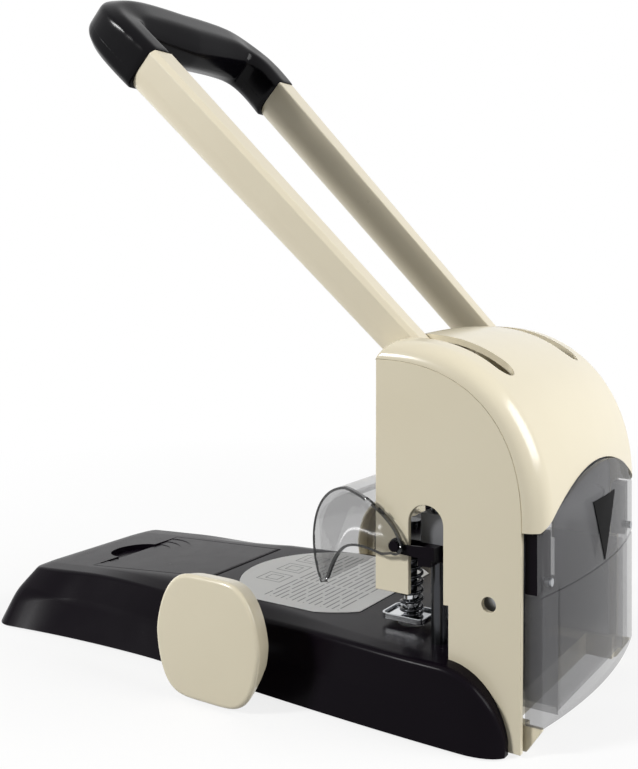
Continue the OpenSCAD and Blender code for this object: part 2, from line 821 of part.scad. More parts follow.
module guide_bushes() {
    color(grey) for (s = [-1, 1]) on_side(s) difference() {
        box([post_at[0] - bush_half, arch_y + bush_y[0], carrier_z[1]],
            [post_at[0] + bush_half, arch_y + bush_y[1], carrier_z[1] + bush_h]);
        translate([post_at[0], post_at[1], 0]) cylinder(h = seam_h, d = post_d + 2 * run);
    }
}

module punch_pin(side) {
    color(steel) on_side(side) translate([pin_x, 0, 0]) difference() {
        union() {
            translate([0, 0, pin_tip]) cylinder(h = carrier_z[1] - pin_tip, d = pin_d);
            translate([0, 0, carrier_z[1]]) cylinder(h = 4, d = pin_d + 4);
        }
        // Hollow ground end that leaves a ring edge
        translate([0, 0, pin_tip - 0.01]) cylinder(h = 1.6, d1 = pin_d - 0.8, d2 = 0.2);
    }
}

// Outline of a presser plate with round corners, drawn in by a wall
module presser_outline(wall) {
    w = presser_size[0] / 2 - wall;
    r = presser_round - wall;
    y0 = presser_front + wall;
    y1 = presser_front + presser_size[1] - wall;
    polygon(concat(arc([w - r, y1 - r], r, 0, 90, 5), arc([r - w, y1 - r], r, 90, 180, 5),
        arc([r - w, y0 + r], r, 180, 270, 5), arc([w - r, y0 + r], r, 270, 360, 5)));
}

module presser(side) {
    color(chrome) on_side(side) translate([pin_x, 0, presser_z]) difference() {
        union() {
            difference() {
                linear_extrude(presser_rim) presser_outline(0);
                translate([0, 0, presser_t]) linear_extrude(presser_rim) presser_outline(presser_wall);
            }
            cylinder(h = collar_h, d = collar_d);
        }
        translate([0, 0, -1]) cylinder(h = collar_h + 2, d = pin_d + 2 * run);
    }
}

// Centre line of a pin spring: flat end, even pitch, flat end
spring_low = presser_z + presser_t;
spring_high = carrier_z[0];
spring_steps = 8;
spring_d = (collar_d + spring_wire + 0.4) / cos(180 / spring_steps);
end_pitch = spring_wire + 0.6;
function spring_z(turn) =
    let (rest = spring_turns - turn,
        low = spring_low + spring_wire / 2,
        high = spring_high - spring_wire / 2)
    turn < 1 ? low + end_pitch * turn :
    rest < 1 ? high - end_pitch * rest :
    lerp(low + end_pitch, high - end_pitch, (turn - 1) / (spring_turns - 2));
spring_points = [for (i = [0:spring_turns * spring_steps]) let (turn = i / spring_steps)
    [spring_d / 2 * cos(360 * turn), spring_d / 2 * sin(360 * turn), spring_z(turn)]];
spring_lead = [for (e = [0, 1]) let (p = spring_points[e * (len(spring_points) - 1)])
    p + [0, (e == 0 ? -1 : 1) * spring_wire, 0]];
spring_line = concat([spring_lead[0]], spring_points, [spring_lead[1]]);

// Least gap between coils, measured on points at least half a turn apart
spring_gap = min([for (i = [0:len(spring_line) - 1], j = [i + spring_steps / 2:len(spring_line) - 1])
    if (j < len(spring_line)) norm(spring_line[i] - spring_line[j])]) - spring_wire;
echo(spring_gap = spring_gap);

function spring_ring(i) =
    let (last = len(spring_line) - 1,
        t = unit(spring_line[min(i + 1, last)] - spring_line[max(i - 1, 0)]),
        side = unit(cross(t, [0, 0, 1])),
        up = cross(side, t))
    [for (k = [0:5]) spring_line[i] + spring_wire / 2 * (side * cos(60 * k) - up * sin(60 * k))];

module pin_spring(side) {
    color(steel) on_side(side) translate([pin_x, 0, 0])
        loft([for (i = [0:len(spring_line) - 1]) spring_ring(i)]);
}

// Guard

guard_front = bezier(guard_tip, guard_bulge[0], guard_bulge[1], guard_crest, 12);
guard_inner = bezier(guard_back - [0.6, guard_t], guard_hollow[0], guard_hollow[1],
    guard_tip + [guard_t + 0.8, 1.5], 12);

module guard_hook() {
    polygon(concat(guard_front, bezier(guard_crest, guard_over[0], guard_over[1], guard_over[2], 10),
        arc(guard_pivot, guard_ear_r, -10, -110, 6),
        bezier(guard_under[0], guard_under[1], guard_under[2], guard_under[3], 8),
        bezier(guard_beak[0], guard_beak[1], guard_beak[2], guard_beak[3], 6)));
}

module guard() {
    color(smoke) {
        along_x(-cheek_in, 2 * cheek_in) polygon(concat(guard_front, [guard_back], guard_inner));
        for (s = [-1, 1]) on_side(s) difference() {
            along_x(cheek_in, guard_t) guard_hook();
            rod_x(cheek_in - 1, guard_t + 2, guard_pivot, guard_screw_d + 2 * run);
        }
    }
}

module guard_screws() {
    color(black) for (s = [-1, 1]) on_side(s) {
        rod_x(ear_x[0], cheek_in + guard_t + 0.2 - ear_x[0], guard_pivot, guard_screw_d);
        rod_x(cheek_in + guard_t + 0.2, guard_head[1], guard_pivot, guard_head[0]);
    }
}

// Chip drawer

module bowed(outer, low, high) {
    translate([0, face_y - face_bow_r, low]) difference() {
        cylinder(h = high - low, r = face_bow_r + outer, $fn = 360);
        translate([0, 0, -1]) cylinder(h = high - low + 2, r = face_bow_r - drawer_t, $fn = 360);
    }
}

// Wedge under the drawer's corner, side view
gusset_outline = [[tower_rear - 1, foot_h], [tower_rear + 0.8, foot_h],
    [tower_rear + gusset_reach, bed_top - 1.2], [tower_rear + gusset_reach, bed_top],
    [tower_rear - 1, bed_top]];

module drawer_bed() {
    color(cream) {
        box([-frame_in, leg_y + 0.5, foot_h], [frame_in, bed_rear, bed_top]);
        box([-bin_half, drawer_front - 2, foot_h + plate_t], [bin_half, leg_y + 1, bed_top]);
        for (s = [-1, 1]) on_side(s) {
            box([frame_in - 3, bed_rear - 1, foot_h], [frame_in, tower_rear, bed_top]);
            box([frame_in - 3, tower_rear - 2.4, foot_h], [face_half - 1, tower_rear, bed_top]);
            along_x(face_half - 1 - gusset_t, gusset_t) polygon(gusset_outline);
        }
    }
}

module chip_drawer() {
    t = drawer_t;
    top = drawer_bottom + bin_h;
    color(smoke) difference() {
        union() {
            // Floor, low tray under the dies and tall bin behind it
            box([-bin_half, drawer_front, drawer_bottom], [bin_half, floor_rear, drawer_bottom + t]);
            for (s = [-1, 1]) on_side(s) {
                box([bin_half - t, drawer_front, drawer_bottom], [bin_half, bin_front, drawer_bottom + tray_h]);
                box([bin_half - t, bin_front, drawer_bottom], [bin_half, wall_rear, top]);
                box([face_half - t, return_front, drawer_bottom], [face_half, return_rear, top]);
            }
            box([-bin_half, drawer_front, drawer_bottom], [bin_half, drawer_front + t, drawer_bottom + tray_h]);
            box([-bin_half, bin_front, drawer_bottom + tray_h], [bin_half, bin_front + t, top]);
            intersection() {
                bowed(0, drawer_bottom, seam_low + face_rise + 5);
                along_y(face_y / 2, face_y) face_outline(0);
            }
        }
        // Nothing passes the inner face of the bowed front
        difference() {
            box([-half_w, bed_rear, 0], [half_w, 2 * face_y, seam_h]);
            translate([0, face_y - face_bow_r, -1]) cylinder(h = 2 * seam_h, r = face_bow_r, $fn = 360);
        }
        // Line across the face and bores of the studs
        difference() {
            box([-half_w, bed_rear, line_z[0]], [half_w, 2 * face_y, line_z[1]]);
            translate([0, face_y - face_bow_r, 0]) cylinder(h = seam_h, r = face_bow_r - line_t, $fn = 360);
        }
        for (s = [-1, 1]) translate([s * stud_at[0], 0, stud_at[1]])
            along_y(tower_rear, face_y) circle(d = stud_d);
    }
}

// Studs that hold the grips on the drawer's face
module drawer_studs() {
    color(steel) for (s = [-1, 1]) translate([s * stud_at[0], 0, stud_at[1]])
        along_y(stud_y - stud_len, stud_len + 0.6) circle(d = stud_d);
}

module drawer_grips() {
    color(black) for (s = [-1, 1]) on_side(s) difference() {
        intersection() {
            box([grip_block_x, return_front, drawer_bottom + bin_h], [face_half, 2 * face_y, seam_low - 0.8]);
            translate([0, face_y - face_bow_r, 0]) cylinder(h = seam_h, r = face_bow_r - drawer_t, $fn = 360);
        }
        translate([stud_at[0], 0, stud_at[1]]) along_y(stud_y - stud_len, face_y) circle(d = stud_d);
    }
}

module drawer_arrow() {
    color(black) intersection() {
        translate([0, face_y - face_bow_r, 0]) difference() {
            cylinder(h = seam_h, r = face_bow_r + arrow_t, $fn = 360);
            translate([0, 0, -1]) cylinder(h = 2 * seam_h, r = face_bow_r, $fn = 360);
        }
        along_y(bed_rear, face_y)
            polygon([[-arrow_half, arrow_z[1]], [arrow_half, arrow_z[1]], [0, arrow_z[0]]]);
    }
}

// Side stops

// Outline of a side stop at x: a soft square whose sides draw in above and below the middle
function stop_ring(x, inset) = [for (i = [0:71]) let (c = cos(5 * i), s = sin(5 * i),
        r = pow(pow(abs(c), stop_power) + pow(abs(s), stop_power), -1 / stop_power),
        draw = 1 - stop_pinch * pow(abs(r * s), 1.6))
    [x, stop_at[0] + (stop_w / 2 - inset) * r * c * draw, stop_at[1] + (stop_h / 2 - inset) * r * s]];

module side_stop(side) {
    rod_at = [side > 0 ? rod_y[0] : rod_y[1], rod_z];
    back = stop_x - stop_t;
    color(cream) on_side(side) difference() {
        union() {
            difference() {
                loft([stop_ring(back, 2), stop_ring(stop_x - 2.4, 0), stop_ring(stop_x - 0.8, 0.6),
                    stop_ring(stop_x, 2.2)]);
                loft([stop_ring(back - 1, stop_wall + 1.4), stop_ring(stop_x - stop_wall, stop_wall + 1.4)]);
                // The rim runs out towards the desk
                along_y(stop_at[0] - stop_w, 2 * stop_w) polygon([[back - 1, stop_run[1]], [back - 1, -2],
                    [stop_x - stop_edge, -2], [stop_x - stop_edge, stop_run[0]]]);
            }
            rod_x(back, stop_t - 1, rod_at, rod_d + 6);
        }
        rod_x(back - 1, rod_socket + 1, rod_at, rod_d);
    }
}

module gauge_rod(side) {
    rod_at = [side > 0 ? rod_y[0] : rod_y[1], rod_z];
    color(chrome) on_side(side) rod_x(rod_in, stop_x - stop_t + rod_socket - rod_in, rod_at, rod_d);
}

base_shell();
bottom_plate();
rubber_feet();
base_screws();
storage_lid();
lid_pin();
label_plate();
die_block();
die_bushes();
back_stop();
frame_plate(1);  // frame_plate_right
frame_plate(-1);  // frame_plate_left
guide_posts();
side_panel(1);  // side_panel_right
side_panel(-1);  // side_panel_left
panel_screws();
top_cover();
lever_shaft();
shaft_rings();
arm(1);  // arm_right
arm(-1);  // arm_left
grip_upper();
grip_lower();
carrier_bar();
drive_pin();
guide_bushes();
punch_pin(1);  // punch_pin_right
punch_pin(-1);  // punch_pin_left
presser(1);  // presser_right
presser(-1);  // presser_left
pin_spring(1);  // pin_spring_right
pin_spring(-1);  // pin_spring_left
guard();
guard_screws();
drawer_bed();
chip_drawer();
drawer_grips();
drawer_studs();
drawer_arrow();
side_stop(1);  // side_stop_right
side_stop(-1);  // side_stop_left
gauge_rod(1);  // gauge_rod_right
gauge_rod(-1);  // gauge_rod_left
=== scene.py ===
"""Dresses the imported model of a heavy-duty two-hole paper punch for the camera.

The CAD frame gives every place. Sizes are in millimetres unless a name says otherwise,
and become metres in the meshes. Each sub-assembly is a class that models its visible
shells and gives every CAD node that still shows a finish.
"""

from __future__ import annotations

import json
import logging
import math
from contextlib import contextmanager
from dataclasses import dataclass, field
from enum import Enum
from typing import Any, Iterator, Sequence

import bpy
from bpy.types import Material, Node, NodeSocket, NodeTree, Object
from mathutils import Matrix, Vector

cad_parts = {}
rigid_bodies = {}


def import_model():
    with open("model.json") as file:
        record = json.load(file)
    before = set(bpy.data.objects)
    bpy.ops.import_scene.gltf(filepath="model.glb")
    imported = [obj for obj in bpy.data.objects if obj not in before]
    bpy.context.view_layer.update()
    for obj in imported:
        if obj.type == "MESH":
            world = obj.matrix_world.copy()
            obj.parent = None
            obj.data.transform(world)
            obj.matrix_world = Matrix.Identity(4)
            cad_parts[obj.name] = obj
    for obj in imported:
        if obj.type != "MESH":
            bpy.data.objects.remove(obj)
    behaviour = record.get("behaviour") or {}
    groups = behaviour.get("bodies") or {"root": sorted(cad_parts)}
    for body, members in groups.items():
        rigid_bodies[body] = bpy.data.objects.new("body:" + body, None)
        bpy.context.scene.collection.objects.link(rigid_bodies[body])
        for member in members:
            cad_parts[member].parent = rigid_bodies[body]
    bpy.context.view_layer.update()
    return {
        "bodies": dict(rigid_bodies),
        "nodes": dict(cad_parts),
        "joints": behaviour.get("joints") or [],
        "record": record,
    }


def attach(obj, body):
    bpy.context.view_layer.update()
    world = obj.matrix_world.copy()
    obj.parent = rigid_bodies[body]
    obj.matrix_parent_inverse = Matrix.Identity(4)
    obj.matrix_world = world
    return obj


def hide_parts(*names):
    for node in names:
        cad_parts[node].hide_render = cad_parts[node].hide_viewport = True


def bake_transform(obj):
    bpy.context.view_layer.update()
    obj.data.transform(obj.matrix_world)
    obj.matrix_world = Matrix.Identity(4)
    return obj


Coords = Sequence[float]
Point = tuple[float, float, float]
Flat = tuple[float, float]

LOG = logging.getLogger("punch")
MM = 0.001
QUARTER = math.pi / 2
# Share of a side that one rounded corner may take
CORNER_REACH = 0.49
# Points nearer than this, in metres, are one: in new meshes and in the CAD's
WELD_M = 1e-7
CAD_WELD_M = 2e-6
# CAD faces that turn less than this are one flat face
FLAT_DEG = 0.5


class Body(Enum):
    """The moving bodies of the punch, by their names in the frame."""

    BASE = "base"
    LEVER = "lever"
    CARRIER = "carrier"
    PRESSERS = "pressers"
    GUARD = "guard_body"
    DRAWER = "drawer"
    STOP_RIGHT = "stop_right"
    STOP_LEFT = "stop_left"
    LID = "lid"


class Side(Enum):
    """The user's right or left side."""

    RIGHT = 1
    LEFT = -1

    @property
    def word(self) -> str:
        """The side's name as node names end with it."""
        return self.name.lower()


# Places that several sub-assemblies share
PIN_X = 40.0
ROD_Y = {Side.RIGHT: -75.2, Side.LEFT: -89.2}
ROD_Z = 24.0
STOP_BODY = {Side.RIGHT: Body.STOP_RIGHT, Side.LEFT: Body.STOP_LEFT}


# Numbers and outlines


def lerp(a: float, b: float, t: float) -> float:
    """The value at share t between a and b."""
    return a + (b - a) * t


def smooth(t: float) -> float:
    """An even S-curve from 0 to 1."""
    c = min(1.0, max(0.0, t))
    return c * c * (3 - 2 * c)


def fall(t: float) -> float:
    """How far a quarter circle of radius one has dropped at t."""
    return 1 - math.sqrt(1 - t**2)


def shares(steps: int) -> list[float]:
    """Even shares from 0 to 1."""
    return [k / steps for k in range(steps + 1)]


def curve(a: Coords, b: Coords, c: Coords, d: Coords, steps: int) -> list[Vector]:
    """Points along a cubic curve, both ends among them."""
    a, b, c, d = Vector(a), Vector(b), Vector(c), Vector(d)
    return [
        a * (1 - t) ** 3 + b * 3 * t * (1 - t) ** 2 + c * 3 * t * t * (1 - t) + d * t**3
        for t in shares(steps)
    ]


def arc(centre: Flat, radius: float, start_deg: float, end_deg: float, steps: int) -> list[Flat]:
    """Points along a circular arc, both ends among them."""
    angles = [math.radians(lerp(start_deg, end_deg, t)) for t in shares(steps)]
    return [(centre[0] + radius * math.cos(a), centre[1] + radius * math.sin(a)) for a in angles]


def rounded(corners: Sequence[Point], steps: int = 4) -> list[Flat]:
    """Rounds the corners of a closed outline.

    Args:
        corners: Points as (x, y, radius).
        steps: Straight pieces to each rounded corner.

    Returns:
        The outline's points in the same turning sense.
    """
    out: list[Flat] = []
    count = len(corners)
    for i, (x, y, radius) in enumerate(corners):
        here = Vector((x, y))
        before = Vector(corners[i - 1][:2]) - here
        after = Vector(corners[(i + 1) % count][:2]) - here
        if radius <= 0:
            out.append((x, y))
            continue
        half = before.angle(after) / 2
        longest = [side.length * CORNER_REACH for side in (before, after)]
        reach = min(radius / math.tan(half), *longest)
        start = here + before.normalized() * reach
        end = here + after.normalized() * reach
        for t in shares(steps):
            p = start * (1 - t) ** 2 + here * 2 * t * (1 - t) + end * t * t
            out.append((p.x, p.y))
    return out


def on_yz(x: float, outline: Sequence[Coords]) -> list[Point]:
    """Stands an outline drawn in Y and Z at x."""
    return [(x, p[0], p[1]) for p in outline]


def on_xy(z: float, outline: Sequence[Coords]) -> list[Point]:
    """Lays an outline drawn in X and Y at z."""
    return [(p[0], p[1], z) for p in outline]


def on_xz(y: float, outline: Sequence[Coords]) -> list[Point]:
    """Stands an outline drawn in X and Z at y."""
    return [(p[0], y, p[1]) for p in outline]


# Materials


def linear(code: str) -> tuple[float, float, float, float]:
    """Turns an sRGB hex colour into a linear one.

    Args:
        code: Six hex digits after a hash.

    Returns:
        Linear red, green, blue and an alpha of one.
    """
    parts = [int(code[i : i + 2], 16) / 255 for i in (1, 3, 5)]
    r, g, b = [p / 12.92 if p <= 0.04045 else ((p + 0.055) / 1.055) ** 2.4 for p in parts]
    return r, g, b, 1.0


def add_node(
    tree: NodeTree,
    kind: str,
    settings: dict[str | int, Any] | None = None,
    links: dict[str | int, NodeSocket] | None = None,
) -> Node:
    """Adds one node with its settings and links.

    Args:
        tree: The material's or world's node tree.
        kind: Blender's type name of the node.
        settings: Values by input socket's name or number, or by node property.
        links: Output sockets by the input that they feed.

    Returns:
        The new node.
    """
    node = tree.nodes.new(kind)
    for key, value in (settings or {}).items():
        if isinstance(key, int) or key in node.inputs:
            node.inputs[key].default_value = value
        else:
            setattr(node, key, value)
    for key, socket in (links or {}).items():
        tree.links.new(socket, node.inputs[key])
    return node


def blank_material(name: str) -> tuple[Material, Node, NodeSocket]:
    """A material with only a shader, its output and object coordinates.

    Args:
        name: The material's name.

    Returns:
        The material, its principled shader and its object coordinates.
    """
    made = bpy.data.materials.new(name)
    made.use_nodes = True
    tree = made.node_tree
    shader = next(n for n in tree.nodes if n.type == "BSDF_PRINCIPLED")
    coords = add_node(tree, "ShaderNodeTexCoord")
    return made, shader, coords.outputs["Object"]


@dataclass(frozen=True)
class Surface:
    """What every finish has: a name, two close tones and an uneven gloss."""

    name: str
    colour: str
    tone: str

    def dress(
        self, tree: NodeTree, shader: Node, tones: NodeSocket, gloss: NodeSocket, ends: Flat
    ) -> None:
        """Lets patterns vary the shader's colour and roughness.

        Args:
            tree: The material's node tree.
            shader: The material's shader.
            tones: The pattern that runs between the two tones.
            gloss: The pattern that runs between the two roughnesses.
            ends: The least and the greatest roughness.
        """
        shades = {"data_type": "RGBA", 6: linear(self.colour), 7: linear(self.tone)}
        mix = add_node(tree, "ShaderNodeMix", shades, {"Factor": tones})
        tree.links.new(mix.outputs[2], shader.inputs["Base Color"])
        limits = {"To Min": ends[0], "To Max": ends[1]}
        rough = add_node(tree, "ShaderNodeMapRange", limits, {"Value": gloss})
        tree.links.new(rough.outputs["Result"], shader.inputs["Roughness"])


@dataclass(frozen=True)
class Moulded(Surface):
    """Injection-moulded or sprayed surface with a faint orange peel and uneven gloss."""

    roughness: float
    spread: float
    ior: float
    peel_mm: float
    peel_depth_mm: float
    peel_strength: float = 0.4
    patch_mm: float = 60.0
    wear_mm: float = 12.0
    gleam: float = 0.5

    def material(self) -> Material:
        """Builds the node material."""
        made, shader, place = blank_material(self.name)
        tree = made.node_tree
        grains = ((self.patch_mm, 3.0), (self.wear_mm, 4.0), (self.peel_mm, 2.0))
        patch, wear, peel = (
            add_node(
                tree,
                "ShaderNodeTexNoise",
                {"Scale": 1 / (size * MM), "Detail": detail},
                {"Vector": place},
            ).outputs["Fac"]
            for size, detail in grains
        )
        ends = (self.roughness - self.spread, self.roughness + self.spread)
        self.dress(tree, shader, patch, wear, ends)
        depth = {"Strength": self.peel_strength, "Distance": self.peel_depth_mm * MM}
        bump = add_node(tree, "ShaderNodeBump", depth, {"Height": peel})
        tree.links.new(bump.outputs["Normal"], shader.inputs["Normal"])
        shader.inputs["IOR"].default_value = self.ior
        shader.inputs["Specular IOR Level"].default_value = self.gleam
        return made


@dataclass(frozen=True)
class Smoked(Surface):
    """Clear tinted polycarbonate: dark, glossy and see-through, denser where the eye grazes it."""

    alpha: float
    roughness: float
    flow_mm: float = 25.0
    haze: Flat = (0.7, 1.4)
    graze: float = 0.12
    grazed_alpha: float = 0.3
    ior: float = 1.58

    def material(self) -> Material:
        """Builds the node material."""
        made, shader, place = blank_material(self.name)
        tree = made.node_tree
        grain = {"Scale": 1 / (self.flow_mm * MM), "Detail": 3.0}
        flow = add_node(tree, "ShaderNodeTexNoise", grain, {"Vector": place}).outputs["Fac"]
        ends = (self.roughness * self.haze[0], self.roughness * self.haze[1])
        self.dress(tree, shader, flow, flow, ends)
        graze = add_node(tree, "ShaderNodeLayerWeight", {"Blend": self.graze})
        body = {"To Min": self.alpha, "To Max": max(self.alpha, self.grazed_alpha)}
        dense = add_node(tree, "ShaderNodeMapRange", body, {"Value": graze.outputs["Fresnel"]})
        tree.links.new(dense.outputs["Result"], shader.inputs["Alpha"])
        shader.inputs["IOR"].default_value = self.ior
        made.surface_render_method = "BLENDED"
        return made


@dataclass(frozen=True)
class Metal(Surface):
    """Bare or plated steel with fine drawing marks."""

    roughness: float
    spread: float
    mark_mm: float
    mark_depth_mm: float
    mark_strength: float = 0.3
    stretch: Point = (1.0, 1.0, 0.12)

    def material(self) -> Material:
        """Builds the node material."""
        made, shader, place = blank_material(self.name)
        tree = made.node_tree
        drawn = add_node(tree, "ShaderNodeMapping", {"Scale": self.stretch}, {"Vector": place})
        grain = {"Scale": 1 / (self.mark_mm * MM), "Detail": 3.0}
        along = {"Vector": drawn.outputs["Vector"]}
        marks = add_node(tree, "ShaderNodeTexNoise", grain, along).outputs["Fac"]
        ends = (self.roughness - self.spread, self.roughness + self.spread)
        self.dress(tree, shader, marks, marks, ends)
        depth = {"Strength": self.mark_strength, "Distance": self.mark_depth_mm * MM}
        bump = add_node(tree, "ShaderNodeBump", depth, {"Height": marks})
        tree.links.new(bump.outputs["Normal"], shader.inputs["Normal"])
        shader.inputs["Metallic"].default_value = 1.0
        return made


class Finish(Enum):
    """Every finish on the punch."""

    # Glossy moulded ABS: warm ivory, soft broad highlights
    CREAM_ABS = Moulded("cream_abs_moulded", "#e8dfc6", "#e3d9be", 0.22, 0.04, 1.53, 1.2, 0.012)
    # Sprayed steel: the same ivory, a little flatter, with a finer orange peel
    CREAM_PAINT = Moulded("cream_enamel_sprayed", "#e6ddc5", "#e1d7be", 0.30, 0.05, 1.5, 0.9, 0.015)
    # Semi-gloss black ABS: nearly black with a violet cast, weak broad reflections
    BLACK_ABS = Moulded(
        "black_abs_moulded", "#110c13", "#0d090f", 0.25, 0.05, 1.52, 1.0, 0.004, gleam=0.05
    )
    # Black ABS of the grip, polished by hands: sharper highlights
    GRIP_ABS = Moulded(
        "black_grip_abs_polished", "#0b0a0e", "#08070a", 0.2, 0.05, 1.52, 1.0, 0.006, gleam=0.1
    )
    # Grey acetal: waxy and matt
    GREY_ACETAL = Moulded("grey_acetal_moulded", "#7c7d80", "#747578", 0.45, 0.05, 1.48, 0.8, 0.01)
    # Film of the label: pale grey and matt, with no clear reflection
    PALE_FILM = Moulded("pale_label_film", "#d2d2d0", "#c9c9c7", 0.4, 0.06, 1.46, 0.6, 0.004)
    # Screen ink on the label: a flat mid grey
    GREY_INK = Moulded("grey_screen_ink", "#6d6e71", "#757678", 0.5, 0.05, 1.5, 0.5, 0.003)
    # Black screen ink on the drawer: flat and dense, hardly a shine
    BLACK_INK = Moulded(
        "black_screen_ink", "#050506", "#070708", 0.6, 0.05, 1.5, 0.5, 0.003, gleam=0.05
    )
    # Black rubber: dull, slightly grey
    RUBBER = Moulded("black_rubber_moulded", "#1d1d1e", "#232324", 0.75, 0.08, 1.52, 0.7, 0.03)
    # Smoky polycarbonate, thin on the guard and denser on the drawer: grey and see-through
    SMOKED_GUARD = Smoked("smoked_polycarbonate_thin", "#2c2c2f", "#343437", 0.19, 0.16)
    SMOKED_DRAWER = Smoked("smoked_polycarbonate_dense", "#626265", "#68686b", 0.36, 0.06)
    # Cut edges of the smoky sheet: light that runs along the sheet leaves them nearly black
    SMOKED_EDGE = Smoked("smoked_polycarbonate_edge", "#0b0b0d", "#101012", 0.9, 0.08)
    # Chrome plate: bright, with sharp reflections
    CHROME = Metal("chrome_plated_steel", "#d6d8da", "#c6c8cb", 0.12, 0.04, 0.8, 0.002)
    # Drawn pin and plate steel: mid grey with a soft sheen along its marks
    STEEL = Metal("drawn_steel", "#b4b6b9", "#9b9da1", 0.30, 0.07, 0.4, 0.004)
    # Dark steel: partly the springs' own blackened finish, partly painted shade where pins, guide
    # posts, springs and the arms' lower ends stand in the tower's shade or mirror its dark inside;
    # thin bright lines
    BLACK_STEEL = Metal("black_oxide_steel", "#47484b", "#3a3b3e", 0.25, 0.06, 0.4, 0.004)


# Meshes


def deselect_all() -> None:
    """Leaves nothing selected."""
    bpy.ops.object.select_all(action="DESELECT")


def pick(piece: Object) -> None:
    """Makes a piece the only selected and the active one."""
    deselect_all()
    piece.select_set(True)
    bpy.context.view_layer.objects.active = piece


def placed(name: str, data: Any) -> Object:
    """A new object of a mesh, lamp or camera, in the scene."""
    made = bpy.data.objects.new(name, data)
    bpy.context.scene.collection.objects.link(made)
    return made


@contextmanager
def editing(piece: Object) -> Iterator[None]:
    """Opens a piece in edit mode with everything selected."""
    pick(piece)
    bpy.ops.object.mode_set(mode="EDIT")
    bpy.ops.mesh.select_all(action="SELECT")
    yield
    bpy.ops.object.mode_set(mode="OBJECT")


def face_out() -> None:
    """Turns all faces of the piece in edit mode outward."""
    bpy.ops.mesh.select_all(action="SELECT")
    bpy.ops.mesh.normals_make_consistent(inside=False)


def apply_modifier(piece: Object, kind: str, **settings: Any) -> None:
    """Adds one modifier and applies it.

    Args:
        piece: The piece to change.
        kind: Blender's type name of the modifier.
        **settings: The modifier's properties.
    """
    pick(piece)
    made = piece.modifiers.new(kind.lower(), kind)
    for key, value in settings.items():
        setattr(made, key, value)
    bpy.ops.object.modifier_apply(modifier=made.name)


def soften(piece: Object, width_mm: float, angle_deg: float = 40.0, segments: int = 2) -> None:
    """Rounds the edges that are sharper than an angle."""
    apply_modifier(
        piece,
        "BEVEL",
        width=width_mm * MM,
        segments=segments,
        limit_method="ANGLE",
        angle_limit=math.radians(angle_deg),
    )


def skin(name: str, rings: Sequence[Sequence[Coords]]) -> Object:
    """Bends a grid primitive round closed rings and closes its ends.

    Args:
        name: The piece's name.
        rings: Closed rings of points in millimetres, all of one length.

    Returns:
        The closed piece.
    """
    columns, rows = len(rings[0]), len(rings) - 1
    deselect_all()
    bpy.ops.mesh.primitive_grid_add(
        x_subdivisions=columns, y_subdivisions=rows, size=2.0, location=(0, 0, 0)
    )
    piece = bpy.context.object
    piece.name = name
    for v in piece.data.vertices:
        column = round((v.co.x + 1) / 2 * columns) % columns
        row = round((v.co.y + 1) / 2 * rows)
        v.co = Vector(rings[row][column]) * MM
    with editing(piece):
        bpy.ops.mesh.remove_doubles(threshold=WELD_M)
        bpy.ops.mesh.fill_holes(sides=0)
        face_out()
    return piece


def prism(name: str, outline: Sequence[Coords], way: Coords) -> Object:
    """Extrudes a flat outline into a closed solid.

    Args:
        name: The piece's name.
        outline: The outline's points in millimetres.
        way: The extrusion in millimetres.

    Returns:
        The closed piece.
    """
    deselect_all()
    bpy.ops.mesh.primitive_circle_add(
        vertices=len(outline), fill_type="NGON", location=(0, 0, 0)
    )
    piece = bpy.context.object
    piece.name = name
    for v, p in zip(piece.data.vertices, outline):
        v.co = Vector(p) * MM
    with editing(piece):
        bpy.ops.mesh.extrude_region_move(TRANSFORM_OT_translate={"value": Vector(way) * MM})
        face_out()
    return piece


def block(name: str, low: Point, high: Point) -> Object:
    """A box between two corners, for cutting or as the start of a piece."""
    outline = [(low[0], low[1]), (high[0], low[1]), (high[0], high[1]), (low[0], high[1])]
    return prism(name, on_xy(low[2], outline), (0, 0, high[2] - low[2]))


def rod(name: str, at: Point, way: Coords, radius: float, sides: int = 48) -> Object:
    """A round bar from a point along an axis.

    Args:
        name: The piece's name.
        at: The middle of its near end in millimetres.
        way: Its length along X, Y or Z in millimetres.
        radius: Its radius in millimetres.
        sides: Faces round it.

    Returns:
        The closed piece.
    """
    ring = arc((0.0, 0.0), radius, 0, 360 * (sides - 1) / sides, sides - 1)
    stand = on_yz if way[0] else on_xz if way[1] else on_xy
    outline = [tuple(a + b for a, b in zip(p, at)) for p in stand(0.0, ring)]
    return prism(name, outline, way)


def combine(piece: Object, operation: str, others: Sequence[Object]) -> None:
    """Works closed solids into a piece one by one and removes them."""
    for other in others:
        apply_modifier(piece, "BOOLEAN", object=other, operation=operation, solver="EXACT")
        bpy.data.objects.remove(other)


def cut(piece: Object, *cutters: Object) -> None:
    """Takes the shapes of cutters out of a piece."""
    combine(piece, "DIFFERENCE", cutters)


def fuse(piece: Object, *others: Object) -> None:
    """Merges closed solids into a piece."""
    combine(piece, "UNION", others)


def join(piece: Object, *others: Object) -> None:
    """Takes separate shells into one piece."""
    pick(piece)
    for other in others:
        other.select_set(True)
    bpy.ops.object.join()


def mirrored(piece: Object, name: str) -> Object:
    """A mirrored copy on the other side of the middle plane, with its own mesh."""
    twin = placed(name, piece.data.copy())
    for v in twin.data.vertices:
        v.co.x = -v.co.x
    with editing(twin):
        bpy.ops.mesh.flip_normals()
    return twin


